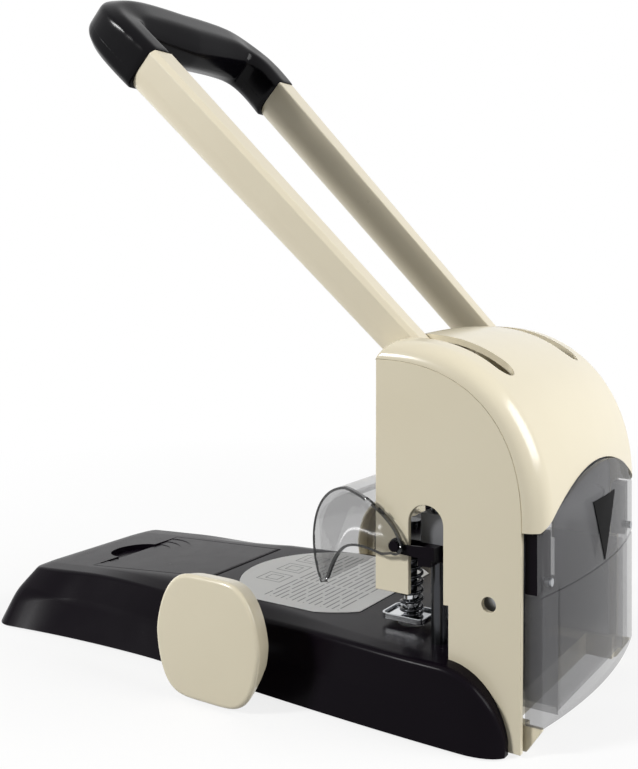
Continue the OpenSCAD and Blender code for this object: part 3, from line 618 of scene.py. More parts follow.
@dataclass
class Workshop:
    """Keeps the frame and the finishes, and signs off each piece."""

    frame: dict[str, Any]
    finishes: dict[Finish, Material] = field(default_factory=dict)

    def finish(self, kind: Finish) -> Material:
        """The material of a finish, made once."""
        if kind not in self.finishes:
            self.finishes[kind] = kind.value.material()
        return self.finishes[kind]

    def paint(self, kind: Finish, *names: str) -> None:
        """Gives CAD nodes that stay as they are a finish."""
        for name in names:
            slots = self.frame["nodes"][name].data.materials
            slots.clear()
            slots.append(self.finish(kind))
            LOG.info("node %s: %s", name, kind.value.name)

    def sign_off(
        self,
        piece: Object,
        kind: Finish,
        body: Body | None,
        slot: str,
        nodes: Sequence[str] = (),
        smooth_deg: float = 35.0,
    ) -> None:
        """Shades a piece, dresses it and hangs it on its body.

        Args:
            piece: The finished mesh.
            kind: Its finish.
            body: The body it rides on, or None to leave it unattached.
            slot: The record's material slot; not used.
            nodes: CAD nodes that it stands for.
            smooth_deg: Edges sharper than this stay crisp.
        """
        piece.data.materials.clear()
        piece.data.materials.append(self.finish(kind))
        pick(piece)
        bpy.ops.object.shade_smooth_by_angle(angle=math.radians(smooth_deg))
        if body is not None:
            apply_modifier(piece, "WEIGHTED_NORMAL", keep_sharp=True)
            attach(piece, body.value)
        if nodes:
            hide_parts(*nodes)
        LOG.info("piece %s: %d faces", piece.name, len(piece.data.polygons))

    def polish(
        self, node: str, name: str, kind: Finish, body: Body, slot: str, edge_mm: float
    ) -> None:
        """Stands a copy of a CAD node with rounded edges and smooth faces in its place.

        Args:
            node: The CAD node.
            name: The copy's name.
            kind: Its finish.
            body: The body it rides on.
            slot: The record's material slot; passed to sign_off, which does not use it.
            edge_mm: Width of the edge rounding.
        """
        piece = placed(name, self.frame["nodes"][node].data.copy())
        with editing(piece):
            bpy.ops.mesh.remove_doubles(threshold=CAD_WELD_M)
            bpy.ops.mesh.customdata_custom_splitnormals_clear()
            bpy.ops.mesh.dissolve_limited(angle_limit=math.radians(FLAT_DEG))
        soften(piece, edge_mm, 35.0)
        self.sign_off(piece, kind, body, slot, [node], 30.0)


# Sub-assemblies


@dataclass
class Base:
    """Flared black base with its lid, tray, label, feet and plate."""

    shop: Workshop
    top: float = 38.4
    low: float = 0.4
    wall: float = 3.0
    reach: float = 281.0
    # Round nose: the used share of its length, its power, and how its rings crowd to the tip
    nose_len: float = 20.0
    nose_share: float = 0.95
    nose_power: float = 4.0
    nose_crowd: float = 1.7
    # Half width on the desk: waist, flare to both ends, front corners
    waist_y: float = -150.0
    waist_half: float = 78.0
    flare: float = 9.0
    flare_power: float = 1.15
    corner_len: float = 21.0
    corner_share: float = 0.97
    corner_in: float = 34.0
    # Round rear end and its corners
    heel_y: float = 37.0
    heel_len: float = 32.5
    heel_end: float = 69.0
    heel_corner_y: float = 50.0
    heel_corner_len: float = 20.0
    heel_corner_in: float = 11.0
    # Half width of the top edge, which bows in at the very front
    crest_waist: float = 56.5
    crest_tower: float = 84.8
    crest_start: float = 200.0
    crest_len: float = 240.0
    crest_nose: float = 0.5
    crest_nose_len: float = 50.0
    crest_lip: float = 2.0
    bow_len: float = 15.0
    bow_ahead: float = 0.8
    bow_power: float = 1.5
    # Cross-section: fall of the top to its edge, and belly and edge behind and at the nose
    shoulder: float = 12.0
    drop: Flat = (0.5, 5.0)
    drop_nose: Flat = (36.0, 86.0)
    drop_rear: Flat = (120.0, 110.0)
    front_len: float = 40.0
    belly_out: Flat = (0.6, 0.4)
    belly_up: Flat = (0.5, 0.6)
    edge_r: Flat = (4.0, 6.0)
    side_r: float = 30.0
    # Openings for the tower, the stops' rods, the die bushes and the guide posts
    tower_half: float = 75.15
    tower_front: float = 37.5
    rod_r: float = 4.1
    bush_r: float = 7.02
    post_at: Flat = (58.0, 25.0)
    post_r: float = 4.02
    # Lid, with the gaps of its opening beside it and behind it
    lid_rear: float = -139.0
    lid_slope: float = 0.07
    lid_len: float = 94.0
    lid_t: float = 2.4
    lid_halves: Flat = (35.5, 41.0)
    lid_gap: Flat = (0.5, 1.2)
    lid_start: float = -2.5
    notch_r: float = 18.0
    dish_r: Point = (36.0, 29.0, 22.0)
    dish_step: float = 0.35
    barrel_at: Point = (-35.0, -140.4, 36.9)
    barrel_r: float = 1.5
    # Tray, and the ledge at its top by its height over the lid's face
    tray_half: float = 33.0
    tray_y: Flat = (-229.5, -143.5)
    tray_low: float = 4.0
    tray_wall: float = 2.0
    ledge_z: float = -3.2
    ledge_t: float = 2.3
    ledge_out: float = 4.0
    # Label film and the marks on it
    label_at: float = -72.0
    label_r: float = 58.0
    label_half: float = 54.6
    label_rear: float = -31.0
    film_t: float = 0.4
    ink_t: float = 0.06
    rows: int = 14
    row_y: float = -92.0
    row_half: float = 46.0
    row_pitch: float = 3.8
    dashes: Point = (23.0, 11.0, 17.0)
    dash_gap: float = 2.5
    dash_t: float = 0.7
    frame_x: Point = (-26.0, -5.0, 16.0)
    frame_y: float = -106.0
    frame_sizes: tuple[Flat, Flat] = ((15.0, 17.0), (8.0, 9.0))
    frame_line: float = 0.45

    @property
    def nose_y(self) -> float:
        """Where the round nose begins."""
        return self.nose_share * self.nose_len - self.reach

    @property
    def corner_y(self) -> float:
        """Where the front corners begin to turn in."""
        return self.corner_share * self.corner_len - self.reach

    def share(self, y: float) -> float:
        """Share of the full height that the round ends leave at y."""
        if y < self.nose_y:
            ahead = ((self.nose_y - y) / self.nose_len) ** self.nose_power
            return (1 - ahead) ** (1 / self.nose_power)
        if y > self.heel_y:
            return math.sqrt(1 - ((y - self.heel_y) / self.heel_len) ** 2)
        return 1.0

    def foot(self, y: float) -> float:
        """Half width on the desk at y."""
        if y < self.waist_y:
            spread = ((y - self.waist_y) / (self.corner_y - self.waist_y)) ** 2
        else:
            behind = min(y, self.heel_corner_y) - self.waist_y
            along = behind / (self.heel_corner_y - self.waist_y)
            spread = math.sin(QUARTER * along**self.flare_power)
        wide = self.waist_half + self.flare * spread
        if y < self.corner_y:
            return wide - self.corner_in * fall((self.corner_y - y) / self.corner_len)
        if y > self.heel_corner_y:
            turn = fall((y - self.heel_corner_y) / self.heel_corner_len)
            return wide - self.heel_corner_in * turn
        return wide

    def crest(self, y: float) -> float:
        """Half width of the top edge at y."""
        behind = smooth((y + self.crest_start) / self.crest_len)
        along = lerp(self.crest_waist, self.crest_tower, behind)
        before = smooth((self.nose_y + self.crest_nose_len - y) / self.crest_nose_len)
        along += self.crest_nose * before
        ahead = 1 - min(1.0, (y + self.reach + self.bow_ahead) / self.bow_len)
        return along * (1 - ahead**2) ** (1 / self.bow_power)

    def section(self, y: float, wall: float, low: float) -> list[Point]:
        """Closed cross-section at y, drawn in by a wall.

        Args:
            y: Place along the base.
            wall: Thickness taken off.
            low: Height of the lower edge.

        Returns:
            The ring's points.
        """
        share = self.share(y)
        full = self.top - self.lid_slope * max(0.0, self.lid_rear - y)
        waist = smooth((y - self.nose_y - self.drop_nose[0]) / self.drop_nose[1])
        tower = smooth((y + self.drop_rear[0]) / self.drop_rear[1])
        drop = lerp(lerp(*self.drop, waist), self.drop[0], tower)
        top, side = full * share - wall, (full - drop) * share - wall
        foot = self.foot(y) - wall
        crest = min(self.crest(y), self.foot(y) - self.crest_lip) - wall
        flat = max(1.0, crest - self.shoulder)
        front = smooth((self.nose_y + self.front_len - y) / self.front_len)
        belly = lerp(foot, crest, lerp(*self.belly_out, front))
        belly_z = lerp(low, side, lerp(*self.belly_up, front))
        half = [
            (foot, low, 0.0),
            (belly, belly_z, self.side_r),
            (crest, side, lerp(*self.edge_r, front)),
            (flat, top, self.side_r),
        ]
        corners = half + [(-x, z, r) for x, z, r in reversed(half)]
        return on_xz(y, rounded(corners, 5))

    def on_lid(self, x: float, y: float, z: float) -> Point:
        """A point in the lid's tilted plane, whose rear edge is at y = 0."""
        tilt = math.atan(self.lid_slope)
        c, s = math.cos(tilt), math.sin(tilt)
        return (x, self.lid_rear + y * c - z * s, self.top + y * s + z * c)

    def lid_outline(self, gap: float, rear: float) -> list[Flat]:
        """Outline of the lid in its plane, grown by a gap."""
        back, front = self.lid_halves
        end = -self.lid_len - gap
        return [(-back - gap, rear), (back + gap, rear), (front + gap, end), (-front - gap, end)]

    def lid_prism(self, name: str, outline: Sequence[Flat], low: float, high: float) -> Object:
        """Extrudes an outline square to the lid's plane."""
        start = Vector(self.on_lid(0, 0, low))
        end = Vector(self.on_lid(0, 0, high))
        return prism(name, [self.on_lid(x, y, low) for x, y in outline], end - start)

    def notch(self, radius: float, low: float, high: float) -> Object:
        """A round disc about the middle of the lid's front edge."""
        ring = arc((0.0, -self.lid_len), radius, 0, 357, 119)
        return self.lid_prism("disc", ring, low, high)

    def build(self) -> None:
        """Makes the base's pieces."""
        self.housing()
        self.tray()
        self.lid()
        self.label()
        self.shop.paint(Finish.RUBBER, "rubber_feet")
        self.shop.paint(Finish.STEEL, "bottom_plate", "base_screws", "lid_pin", "die_block")
        for node, name in (("die_bushes", "die_bush_pair"), ("back_stop", "back_stop_bracket")):
            self.shop.polish(node, name, Finish.STEEL, Body.BASE, "steel", 0.3)

    def housing(self) -> None:
        """The flared shell, hollow below, with the lid's opening and the tower's place."""
        nose_len = self.nose_share * self.nose_len
        stations = [-self.reach + nose_len * t**self.nose_crowd for t in shares(12)]
        stations += [lerp(self.nose_y, self.heel_y, t) for t in shares(44)[1:]]
        heel = self.heel_end - self.heel_y
        stations += [self.heel_y + heel * math.sin(math.pi * k / 24) for k in range(1, 13)]
        shell = skin("base_housing", [self.section(y, 0.0, self.low) for y in stations])
        inside = [lerp(self.nose_y - 15, self.tower_front + 1, t) for t in shares(48)]
        core = skin("core", [self.section(y, self.wall, -1.0) for y in inside])
        corner = (-self.tower_half, self.tower_front, -1)
        tower = block("tower", corner, (self.tower_half, 80, 60))
        lid = self.lid_prism("lid", self.lid_outline(*self.lid_gap), -10, 15)
        cut(shell, core, tower, lid, self.notch(self.notch_r, -10, 15))
        post_x, post_y = self.post_at
        for side in Side:
            out, up = (side.value * 50, 0, 0), (0, 0, 25)
            cut(shell, rod("bore", (side.value * 50, ROD_Y[side], ROD_Z), out, self.rod_r))
            cut(shell, rod("bore", (side.value * PIN_X, 0, 25), up, self.bush_r))
            cut(shell, rod("bore", (side.value * post_x, post_y, 25), up, self.post_r))
        self.shop.sign_off(
            shell, Finish.BLACK_ABS, Body.BASE, "black_plastic", ["base_shell"], 28.0
        )

    def tray(self) -> None:
        """The compartment under the lid, with the ledge that the lid lies on."""
        low, wall, under = self.tray_low, self.tray_wall, self.ledge_z
        rise = [self.top + under + self.lid_slope * (y - self.lid_rear) for y in self.tray_y]
        rear, front = self.tray_y[1] + wall, self.tray_y[0] - wall
        profile = [(front, low), (rear, low), (rear, rise[1]), (front, rise[0])]
        half = self.tray_half + wall
        tray = prism("storage_tray", on_yz(-half, profile), (2 * half, 0, 0))
        ledge_low = under - self.ledge_t
        outline = self.lid_outline(self.ledge_out, self.ledge_out)
        ledge = self.lid_prism("ledge", outline, ledge_low, under)
        fuse(tray, ledge, self.notch(self.notch_r + 3, ledge_low, under - 0.01))
        inner_low = (-self.tray_half, self.tray_y[0], low + wall)
        cut(tray, block("inside", inner_low, (self.tray_half, self.tray_y[1], 50)))
        soften(tray, 0.4)
        self.shop.sign_off(tray, Finish.BLACK_ABS, Body.BASE, "black_plastic", ["base_shell"])

    def lid(self) -> None:
        """The storage lid with stepped rings round its finger notch."""
        outline = self.lid_outline(0, self.lid_start)
        lid = self.lid_prism("storage_cover", outline, -self.lid_t, 0)
        for k, radius in enumerate(self.dish_r):
            cut(lid, self.notch(radius, -self.dish_step * (k + 1), 5))
        soften(lid, 0.22, 30.0)
        length = (-2 * self.barrel_at[0], 0, 0)
        join(lid, rod("barrel", self.barrel_at, length, self.barrel_r, 32))
        self.shop.sign_off(lid, Finish.BLACK_ABS, Body.LID, "black_plastic", ["storage_lid"], 25.0)

    def label(self) -> None:
        """The label: a disc of film with three straight sides, and plain frames and dashes."""
        middle = (0, self.label_at, self.top)
        film = rod("label_film", middle, (0, 0, self.film_t), self.label_r, 180)
        below, above, beyond = 30, 50, 70
        for side in (-1, 1):
            low, high = sorted((side * self.label_half, side * beyond))
            cut(film, block("edge", (low, -150, below), (high, 0, above)))
        cut(film, block("edge", (-beyond, self.label_rear, below), (beyond, 0, above)))
        soften(film, 0.12)
        self.shop.sign_off(film, Finish.PALE_FILM, Body.BASE, "pale_label", ["label_plate"])
        ink, *marks = [self.frame_mark(x, size) for size in self.frame_sizes for x in self.frame_x]
        face = self.top + self.film_t
        for row in range(self.rows):
            y = self.row_y + self.row_pitch * row
            x, dash = -self.row_half, row
            while x < self.row_half:
                end = min(self.row_half, x + self.dashes[dash % len(self.dashes)])
                marks.append(block("dash", (x, y, face), (end, y + self.dash_t, face + self.ink_t)))
                x, dash = end + self.dash_gap, dash + 1
        join(ink, *marks)
        ink.name = "label_marks"
        self.shop.sign_off(ink, Finish.GREY_INK, Body.BASE, "pale_label")

    def frame_mark(self, x: float, size: Flat) -> Object:
        """A printed frame about x: a plane's border, raised by the ink's thickness."""
        deselect_all()
        bpy.ops.mesh.primitive_plane_add(size=1.0, location=(0, 0, 0))
        mark = bpy.context.object
        face = self.top + self.film_t
        for v in mark.data.vertices:
            v.co = Vector((x + v.co.x * size[0], self.frame_y + v.co.y * size[1], face)) * MM
        with editing(mark):
            bpy.ops.mesh.inset(thickness=self.frame_line * MM, depth=0)
            bpy.ops.mesh.delete(type="FACE")
            bpy.ops.mesh.select_all(action="SELECT")
            up = (0, 0, self.ink_t * MM)
            bpy.ops.mesh.extrude_region_move(TRANSFORM_OT_translate={"value": up})
            face_out()
        return mark


@dataclass
class Tower:
    """Cream casing with its inner frame."""

    shop: Workshop
    half: float = 75.0
    front: float = -2.0
    rear: float = 75.0
    # Cover: seams, crown, and the powers of its side view at the seam and on the crown
    seam_top: float = 180.0
    seam_low: float = 104.0
    rise: float = 10.0
    back: float = 11.5
    edge_round: float = 14.0
    wall: float = 3.0
    nose: float = 10.0
    bow: float = 2.5
    crown: float = 2.5
    powers: Flat = (2.4, 2.2)
    seam_share: float = 0.06
    # Steps over the crown, across half the flat top and round one edge
    over_steps: int = 44
    flat_steps: int = 12
    edge_steps: int = 14
    # Arm slots, and the inner wall between the ears
    slot_x: Flat = (40.0, 54.0)
    slot_rear: float = 60.0
    slot_low: float = 154.0
    screen_half: float = 57.0
    screen_y: Flat = (-1.7, 0.5)
    screen_z: Flat = (124.0, 182.0)
    # Drawer's arch
    face_half: float = 71.0
    face_rise: float = 23.5
    face_low: float = 14.0
    face_gap: float = 0.6
    # Side panels: lower outline on both sides of the arched slot, flange, bosses
    panel_t: float = 3.0
    panel_low: float = 1.2
    panel_step: float = 38.2
    throat_z: float = 65.2
    arch_at: Flat = (26.1, 101.1)
    arch_r: float = 9.4
    arch_y: Flat = (16.7, 35.5)
    arch_foot: float = 63.8
    hole_at: Flat = (59.2, 68.0)
    hole_r: float = 3.6
    flange_top: float = 123.0
    boss_x: float = 69.0
    boss_r: float = 4.5
    boss_at: tuple[Flat, Flat, Flat] = ((66.0, 50.0), (66.0, 96.0), (28.0, 138.0))

    def path(self, share: float, wall: float, bow: float, lift: float) -> list[Flat]:
        """Side view of the cover from its rear edge over the crown to its front edge.

        Args:
            share: One on the crown, near zero at the seam.
            wall: Thickness that draws the surface in.
            bow: How far the back swells.
            lift: How far the crown swells.

        Returns:
            Points in Y and Z.
        """
        top = self.seam_top + (self.rise - wall + lift) * share
        back = self.rear + (self.back - wall + bow) * share
        front = self.front + wall * share
        r = (self.nose - wall) * share
        start = front + r
        power = 2 / lerp(*self.powers, share)
        over: list[Flat] = []
        for k in range(self.over_steps):
            a = QUARTER * k / self.over_steps
            y = start + (back - start) * math.cos(a) ** power
            over.append((y, self.seam_low + (top - self.seam_low) * math.sin(a) ** power))
        over.append((start, top))
        nose = arc((start, top - r), r, 99, 180, 9)
        return over + nose + [(front, self.seam_top)]

    def rows(self, wall: float) -> list[list[Point]]:
        """The cover's surface as paths from left to right."""
        flat = self.half - self.edge_round - wall
        last = self.flat_steps + self.edge_steps
        out: list[list[Point]] = []
        for k in range(-last, last + 1):
            turn = max(0, abs(k) - self.flat_steps) / self.edge_steps * QUARTER
            x = flat * k / self.flat_steps
            lift = 1 - (k / self.flat_steps) ** 2
            if turn:
                x, lift = math.copysign(flat + self.edge_round * math.sin(turn), k), 0.0
            share = lerp(self.seam_share, 1, math.cos(turn))
            out.append(on_yz(x, self.path(share, wall, self.bow * lift, self.crown * lift)))
        return out

    def face_arch(self) -> list[Flat]:
        """Outline of the drawer's arched opening in X and Z, with a gap at its sides."""
        r = (self.face_half**2 + self.face_rise**2) / (2 * self.face_rise)
        side = self.face_half + self.face_gap
        middle = self.seam_low + self.face_rise - r
        xs = [lerp(side, -side, t) for t in shares(64)]
        over = [(x, middle + math.sqrt(r**2 - x * x)) for x in xs]
        return [(-side, self.face_low), (side, self.face_low)] + over

    def build(self) -> None:
        """Makes the casing and dresses the frame inside it."""
        self.cover()
        self.panels()
        inner = ("frame_plate_right", "frame_plate_left", "panel_screws", "lever_shaft")
        self.shop.paint(Finish.STEEL, *inner, "shaft_rings")
        # Guide posts: chrome parts painted dark, a painted reflection of the tower's dark inside
        self.shop.polish(
            "guide_posts", "guide_post_pair", Finish.BLACK_STEEL, Body.BASE, "chrome", 0.6
        )
        self.shop.polish(
            "drawer_bed", "drawer_skirt", Finish.CREAM_ABS, Body.BASE, "cream_plastic", 0.6
        )

    def cover(self) -> None:
        """The crowned cover with two lever slots and the drawer's arch."""
        outer, inner = self.rows(0.0), self.rows(self.wall)
        rings = [
            [row[k] for row in outer] + [row[k] for row in reversed(inner)]
            for k in range(len(outer[0]))
        ]
        cover = skin("casing_cover", rings)
        middle = (self.slot_x[0] + self.slot_x[1]) / 2
        radius = (self.slot_x[1] - self.slot_x[0]) / 2
        for side in (-1, 1):
            end = arc((side * middle, self.slot_rear - radius), radius, 0, 180, 20)
            slot = [(side * middle - radius, -10), (side * middle + radius, -10)] + end
            cut(cover, prism("slot", on_xy(self.slot_low, slot), (0, 0, 60)))
        cut(cover, prism("arch", on_xz(55, self.face_arch()), (0, 60, 0)))
        soften(cover, 0.7, 50.0, 3)
        (front, rear), (low, high) = self.screen_y, self.screen_z
        screen = block("wall", (-self.screen_half, front, low), (self.screen_half, rear, high))
        for side in (-1, 1):
            left, right = sorted((side * (middle - radius), side * (middle + radius)))
            cut(screen, block("slot", (left, -10, self.slot_low), (right, 10, 200)))
        soften(screen, 0.4)
        join(cover, screen)
        self.shop.sign_off(
            cover, Finish.CREAM_ABS, Body.BASE, "cream_plastic", ["top_cover"], 38.0
        )

    def panels(self) -> None:
        """The two flat side panels with their arched slots."""
        inner = self.half - self.panel_t
        outline = [(self.panel_step, self.panel_low), (self.rear, self.panel_low)]
        outline += self.path(self.seam_share, self.wall, 0, 0)
        outline += [(self.front, self.throat_z), (self.arch_y[0], self.throat_z)]
        outline += arc(self.arch_at, self.arch_r, 180, 0, 28)
        outline += [(self.arch_y[1], self.arch_foot), (self.panel_step, self.arch_foot)]
        panel = prism("casing_panel_right", on_yz(inner, outline), (self.panel_t, 0, 0))
        cut(panel, rod("hole", (self.half - 5, *self.hole_at), (10, 0, 0), self.hole_r, 40))
        soften(panel, 0.5, 45.0, 3)
        low = (self.half - 8, self.front + 0.2, self.throat_z)
        flange = block("flange", low, (inner, self.front + 2.6, self.flange_top))
        bosses = [
            rod("boss", (self.boss_x, *at), (self.panel_t, 0, 0), self.boss_r)
            for at in self.boss_at
        ]
        join(panel, flange, *bosses)
        twin = mirrored(panel, "casing_panel_left")
        for piece, node in ((panel, "side_panel_right"), (twin, "side_panel_left")):
            self.shop.sign_off(piece, Finish.CREAM_ABS, Body.BASE, "cream_plastic", [node], 25.0)


@dataclass
class Lever:
    """Fork lever with its two-part grip."""

    shop: Workshop
    # Right arm: direction, place, and its size at the tower and at the grip
    angle_deg: float = 44.2
    splay: float = 0.0795
    root: Point = (47.0, -5.0, 190.0)
    length: float = 220.0
    thick: Flat = (11.5, 18.0)
    deep: Flat = (21.4, 28.2)
    # Its cross-section: round keel, bevel on the outer top edge, corner radii
    keel: Flat = (0.06, 0.94)
    bevel: float = 2.8
    bevel_share: float = 0.7
    corner_r: Flat = (1.2, 1.0)
    # Neck inside the tower
    neck: Flat = (6.0, 15.0)
    neck_x: float = 46.0
    neck_start: float = -14.0
    neck_len: float = 26.0
    neck_end: float = -72.0
    neck_stations: tuple[float, ...] = (-60.0, -50.0, -40.0, -34.0, -29.0, -24.0, -19.0)
    # Hub and crank; below bare_z the arm shows dark bare steel
    cheek: Flat = (42.4, 49.6)
    pivot: Flat = (52.0, 134.0)
    hub_r: float = 15.0
    bore_r: float = 6.05
    crank: float = 36.0
    crank_over: float = 2.0
    crank_r: float = 9.0
    crank_deg: float = 190.25
    run_half: float = 2.5
    # Hub and crank; below the height that ends this group the cream arm is painted dark, as painted
    # shade inside the tower
    run_r: float = 4.6
    bare_z: float = 152.0
    # Grip: half sizes, chamfers and radii of its legs and its bar, and the pull of its curve
    grip_leg: Flat = (10.4, 15.2)
    grip_bar: Flat = (19.5, 15.8)
    grip_chamfer: Flat = (4.2, 9.5)
    grip_round: Flat = (1.8, 9.0)
    grip_reach: float = 33.0
    grip_lift: float = -0.2
    grip_seam: float = -5.0
    grip_bend: float = 46.0
    grip_splay: float = 4.5
    grip_pull: Point = (60.0, -2.0, 2.0)
    # How much the grip's two corners swell outward and flatten on top
    grip_swell: float = 0.22
    grip_flatten: float = 0.1
    voxel: float = 1.2

    @property
    def along(self) -> Vector:
        """Direction of the right arm."""
        a = math.radians(self.angle_deg)
        return Vector((self.splay, -math.cos(a), math.sin(a)))

    @property
    def up(self) -> Vector:
        """Direction of the arm's depth."""
        a = math.radians(self.angle_deg)
        return Vector((0, math.sin(a), math.cos(a)))

    @property
    def arm_end(self) -> Vector:
        """Middle of the right arm's upper end."""
        return Vector(self.root) + self.along * self.length

    @property
    def grip_middle(self) -> Vector:
        """Middle of the grip's bar."""
        end = self.arm_end
        return Vector((0, end.y - self.grip_reach, end.z + self.grip_reach))

    def build(self) -> None:
        """Makes the arms and the grip."""
        self.arms()
        self.grip()

    def arm_ring(self, s: float) -> list[Vector]:
        """Cross-section of the right arm at s along it.

        Args:
            s: Distance from the arm's root, negative inside the tower.

        Returns:
            The ring: round below, upright sides, a bevel on the outer top edge.
        """
        middle = Vector(self.root) + self.along * s
        share = min(1.0, max(0.0, s / self.length))
        narrow = smooth((self.neck_start - s) / self.neck_len)
        w = lerp(lerp(*self.thick, share), self.neck[0], narrow) / 2
        e = lerp(lerp(*self.deep, share), self.neck[1], narrow) / 2
        flat, deep = self.keel
        half_turn = arc((0.0, 0.0), 1.0, 180, 360, 24)
        corners = [(w * x, -e * (flat - deep * z), 0.0) for x, z in half_turn]
        outer_r, inner_r = self.corner_r
        corners += [(w, e - self.bevel, outer_r), (w * self.bevel_share, e, outer_r)]
        corners.append((-w, e, inner_r))
        x = max(middle.x, self.neck_x)
        return [
            Vector((x + p[0], middle.y, middle.z)) + self.up * p[1] for p in rounded(corners, 4)
        ]

    def turned(self, outline: Sequence[Flat]) -> list[Flat]:
        """Turns an outline drawn along the crank into Y and Z about the pivot."""
        a = math.radians(self.crank_deg)
        c, s = math.cos(a), math.sin(a)
        return [(self.pivot[0] + u * c - v * s, self.pivot[1] + u * s + v * c) for u, v in outline]

    def arms(self) -> None:
        """Both arms with hub, crank and drive slot."""
        stations = [self.neck_end, *self.neck_stations, self.neck_start]
        stations += [self.length * k / 14 for k in range(15)]
        arm = skin("lever_arm_right", [self.arm_ring(s) for s in stations])
        hub = arc((0.0, 0.0), self.hub_r, 36.87, 323.13, 40)
        hub += arc((self.crank + self.crank_over, 0.0), self.crank_r, -90, 90, 20)
        thick = (self.cheek[1] - self.cheek[0], 0, 0)
        fuse(arm, prism("crank", on_yz(self.cheek[0], self.turned(hub)), thick))
        inside, through = 30, (40, 0, 0)
        cut(arm, rod("bore", (inside, *self.pivot), through, self.bore_r))
        run = arc((self.crank - self.run_half, 0.0), self.run_r, 90, 270, 14)
        run += arc((self.crank + self.run_half, 0.0), self.run_r, -90, 90, 14)
        cut(arm, prism("run", on_yz(inside, self.turned(run)), through))
        twin = mirrored(arm, "lever_arm_left")
        for piece, node in ((arm, "arm_right"), (twin, "arm_left")):
            self.shop.sign_off(piece, Finish.CREAM_PAINT, Body.LEVER, "cream_metal", [node], 32.0)
            # Faces below that height get the dark steel: painted shade where the arm lies inside
            # the tower
            piece.data.materials.append(self.shop.finish(Finish.BLACK_STEEL))
            for face in piece.data.polygons:
                face.material_index = int(face.center.z < self.bare_z * MM)

    def grip_outline(self, share: float) -> list[Flat]:
        """The grip's cross-section, from zero at a leg's end to one in the bar's middle."""
        w, h = (lerp(leg, bar, share) for leg, bar in zip(self.grip_leg, self.grip_bar))
        chamfer, radius = lerp(*self.grip_chamfer, share), lerp(*self.grip_round, share)
        quarter = [(w, h - chamfer), (w - chamfer, h)]
        corners = quarter + [(-x, y) for x, y in reversed(quarter)]
        corners += [(-x, -y) for x, y in quarter] + [(x, -y) for x, y in reversed(quarter)]
        turn = math.sin(math.pi * min(1.0, share * 1.25)) ** 2
        swell, flatten = 1 + self.grip_swell * turn, 1 - self.grip_flatten * turn
        outline = rounded([(x, y, radius) for x, y in corners], 4)
        return [(x * swell if x > 0 else x, y * flatten if y > 0 else y) for x, y in outline]

    def grip_rings(self) -> list[list[Vector]]:
        """Cross-sections of the grip from the right arm round to the left one."""
        start, middle = self.arm_end, self.grip_middle
        bend = start + self.along * self.grip_bend + Vector((self.grip_splay, 0, 0))
        half = curve(start, bend, middle + Vector(self.grip_pull), middle, 36)
        path = half + [Vector((-p.x, p.y, p.z)) for p in reversed(half[:-1])]
        last = len(path) - 1
        rings = []
        for i, p in enumerate(path):
            side = Vector((1, 0, 0)) if i == 0 else Vector((-1, 0, 0))
            if 0 < i < last:
                side = self.up.cross(path[i + 1] - path[i - 1]).normalized()
            share = smooth(1 - abs(2 * i / last - 1))
            lift = self.grip_lift * share
            outline = self.grip_outline(share)
            rings.append([p + side * q[0] + self.up * (q[1] + lift) for q in outline])
        return rings

    def grip(self) -> None:
        """The grip as an upper and a lower moulding that meet at a fine parting line."""
        seam = self.grip_middle + self.up * self.grip_seam
        halves = (("grip_top_half", "grip_upper", True), ("grip_bottom_half", "grip_lower", False))
        for name, node, above in halves:
            piece = skin(name, self.grip_rings())
            apply_modifier(piece, "REMESH", mode="VOXEL", voxel_size=self.voxel * MM)
            apply_modifier(piece, "SMOOTH", factor=0.5, iterations=10)
            with editing(piece):
                bpy.ops.mesh.bisect(
                    plane_co=seam * MM,
                    plane_no=self.up,
                    use_fill=True,
                    clear_inner=above,
                    clear_outer=not above,
                )
            soften(piece, 0.5, 50.0)
            self.shop.sign_off(piece, Finish.GRIP_ABS, Body.LEVER, "grip_plastic", [node], 26.0)


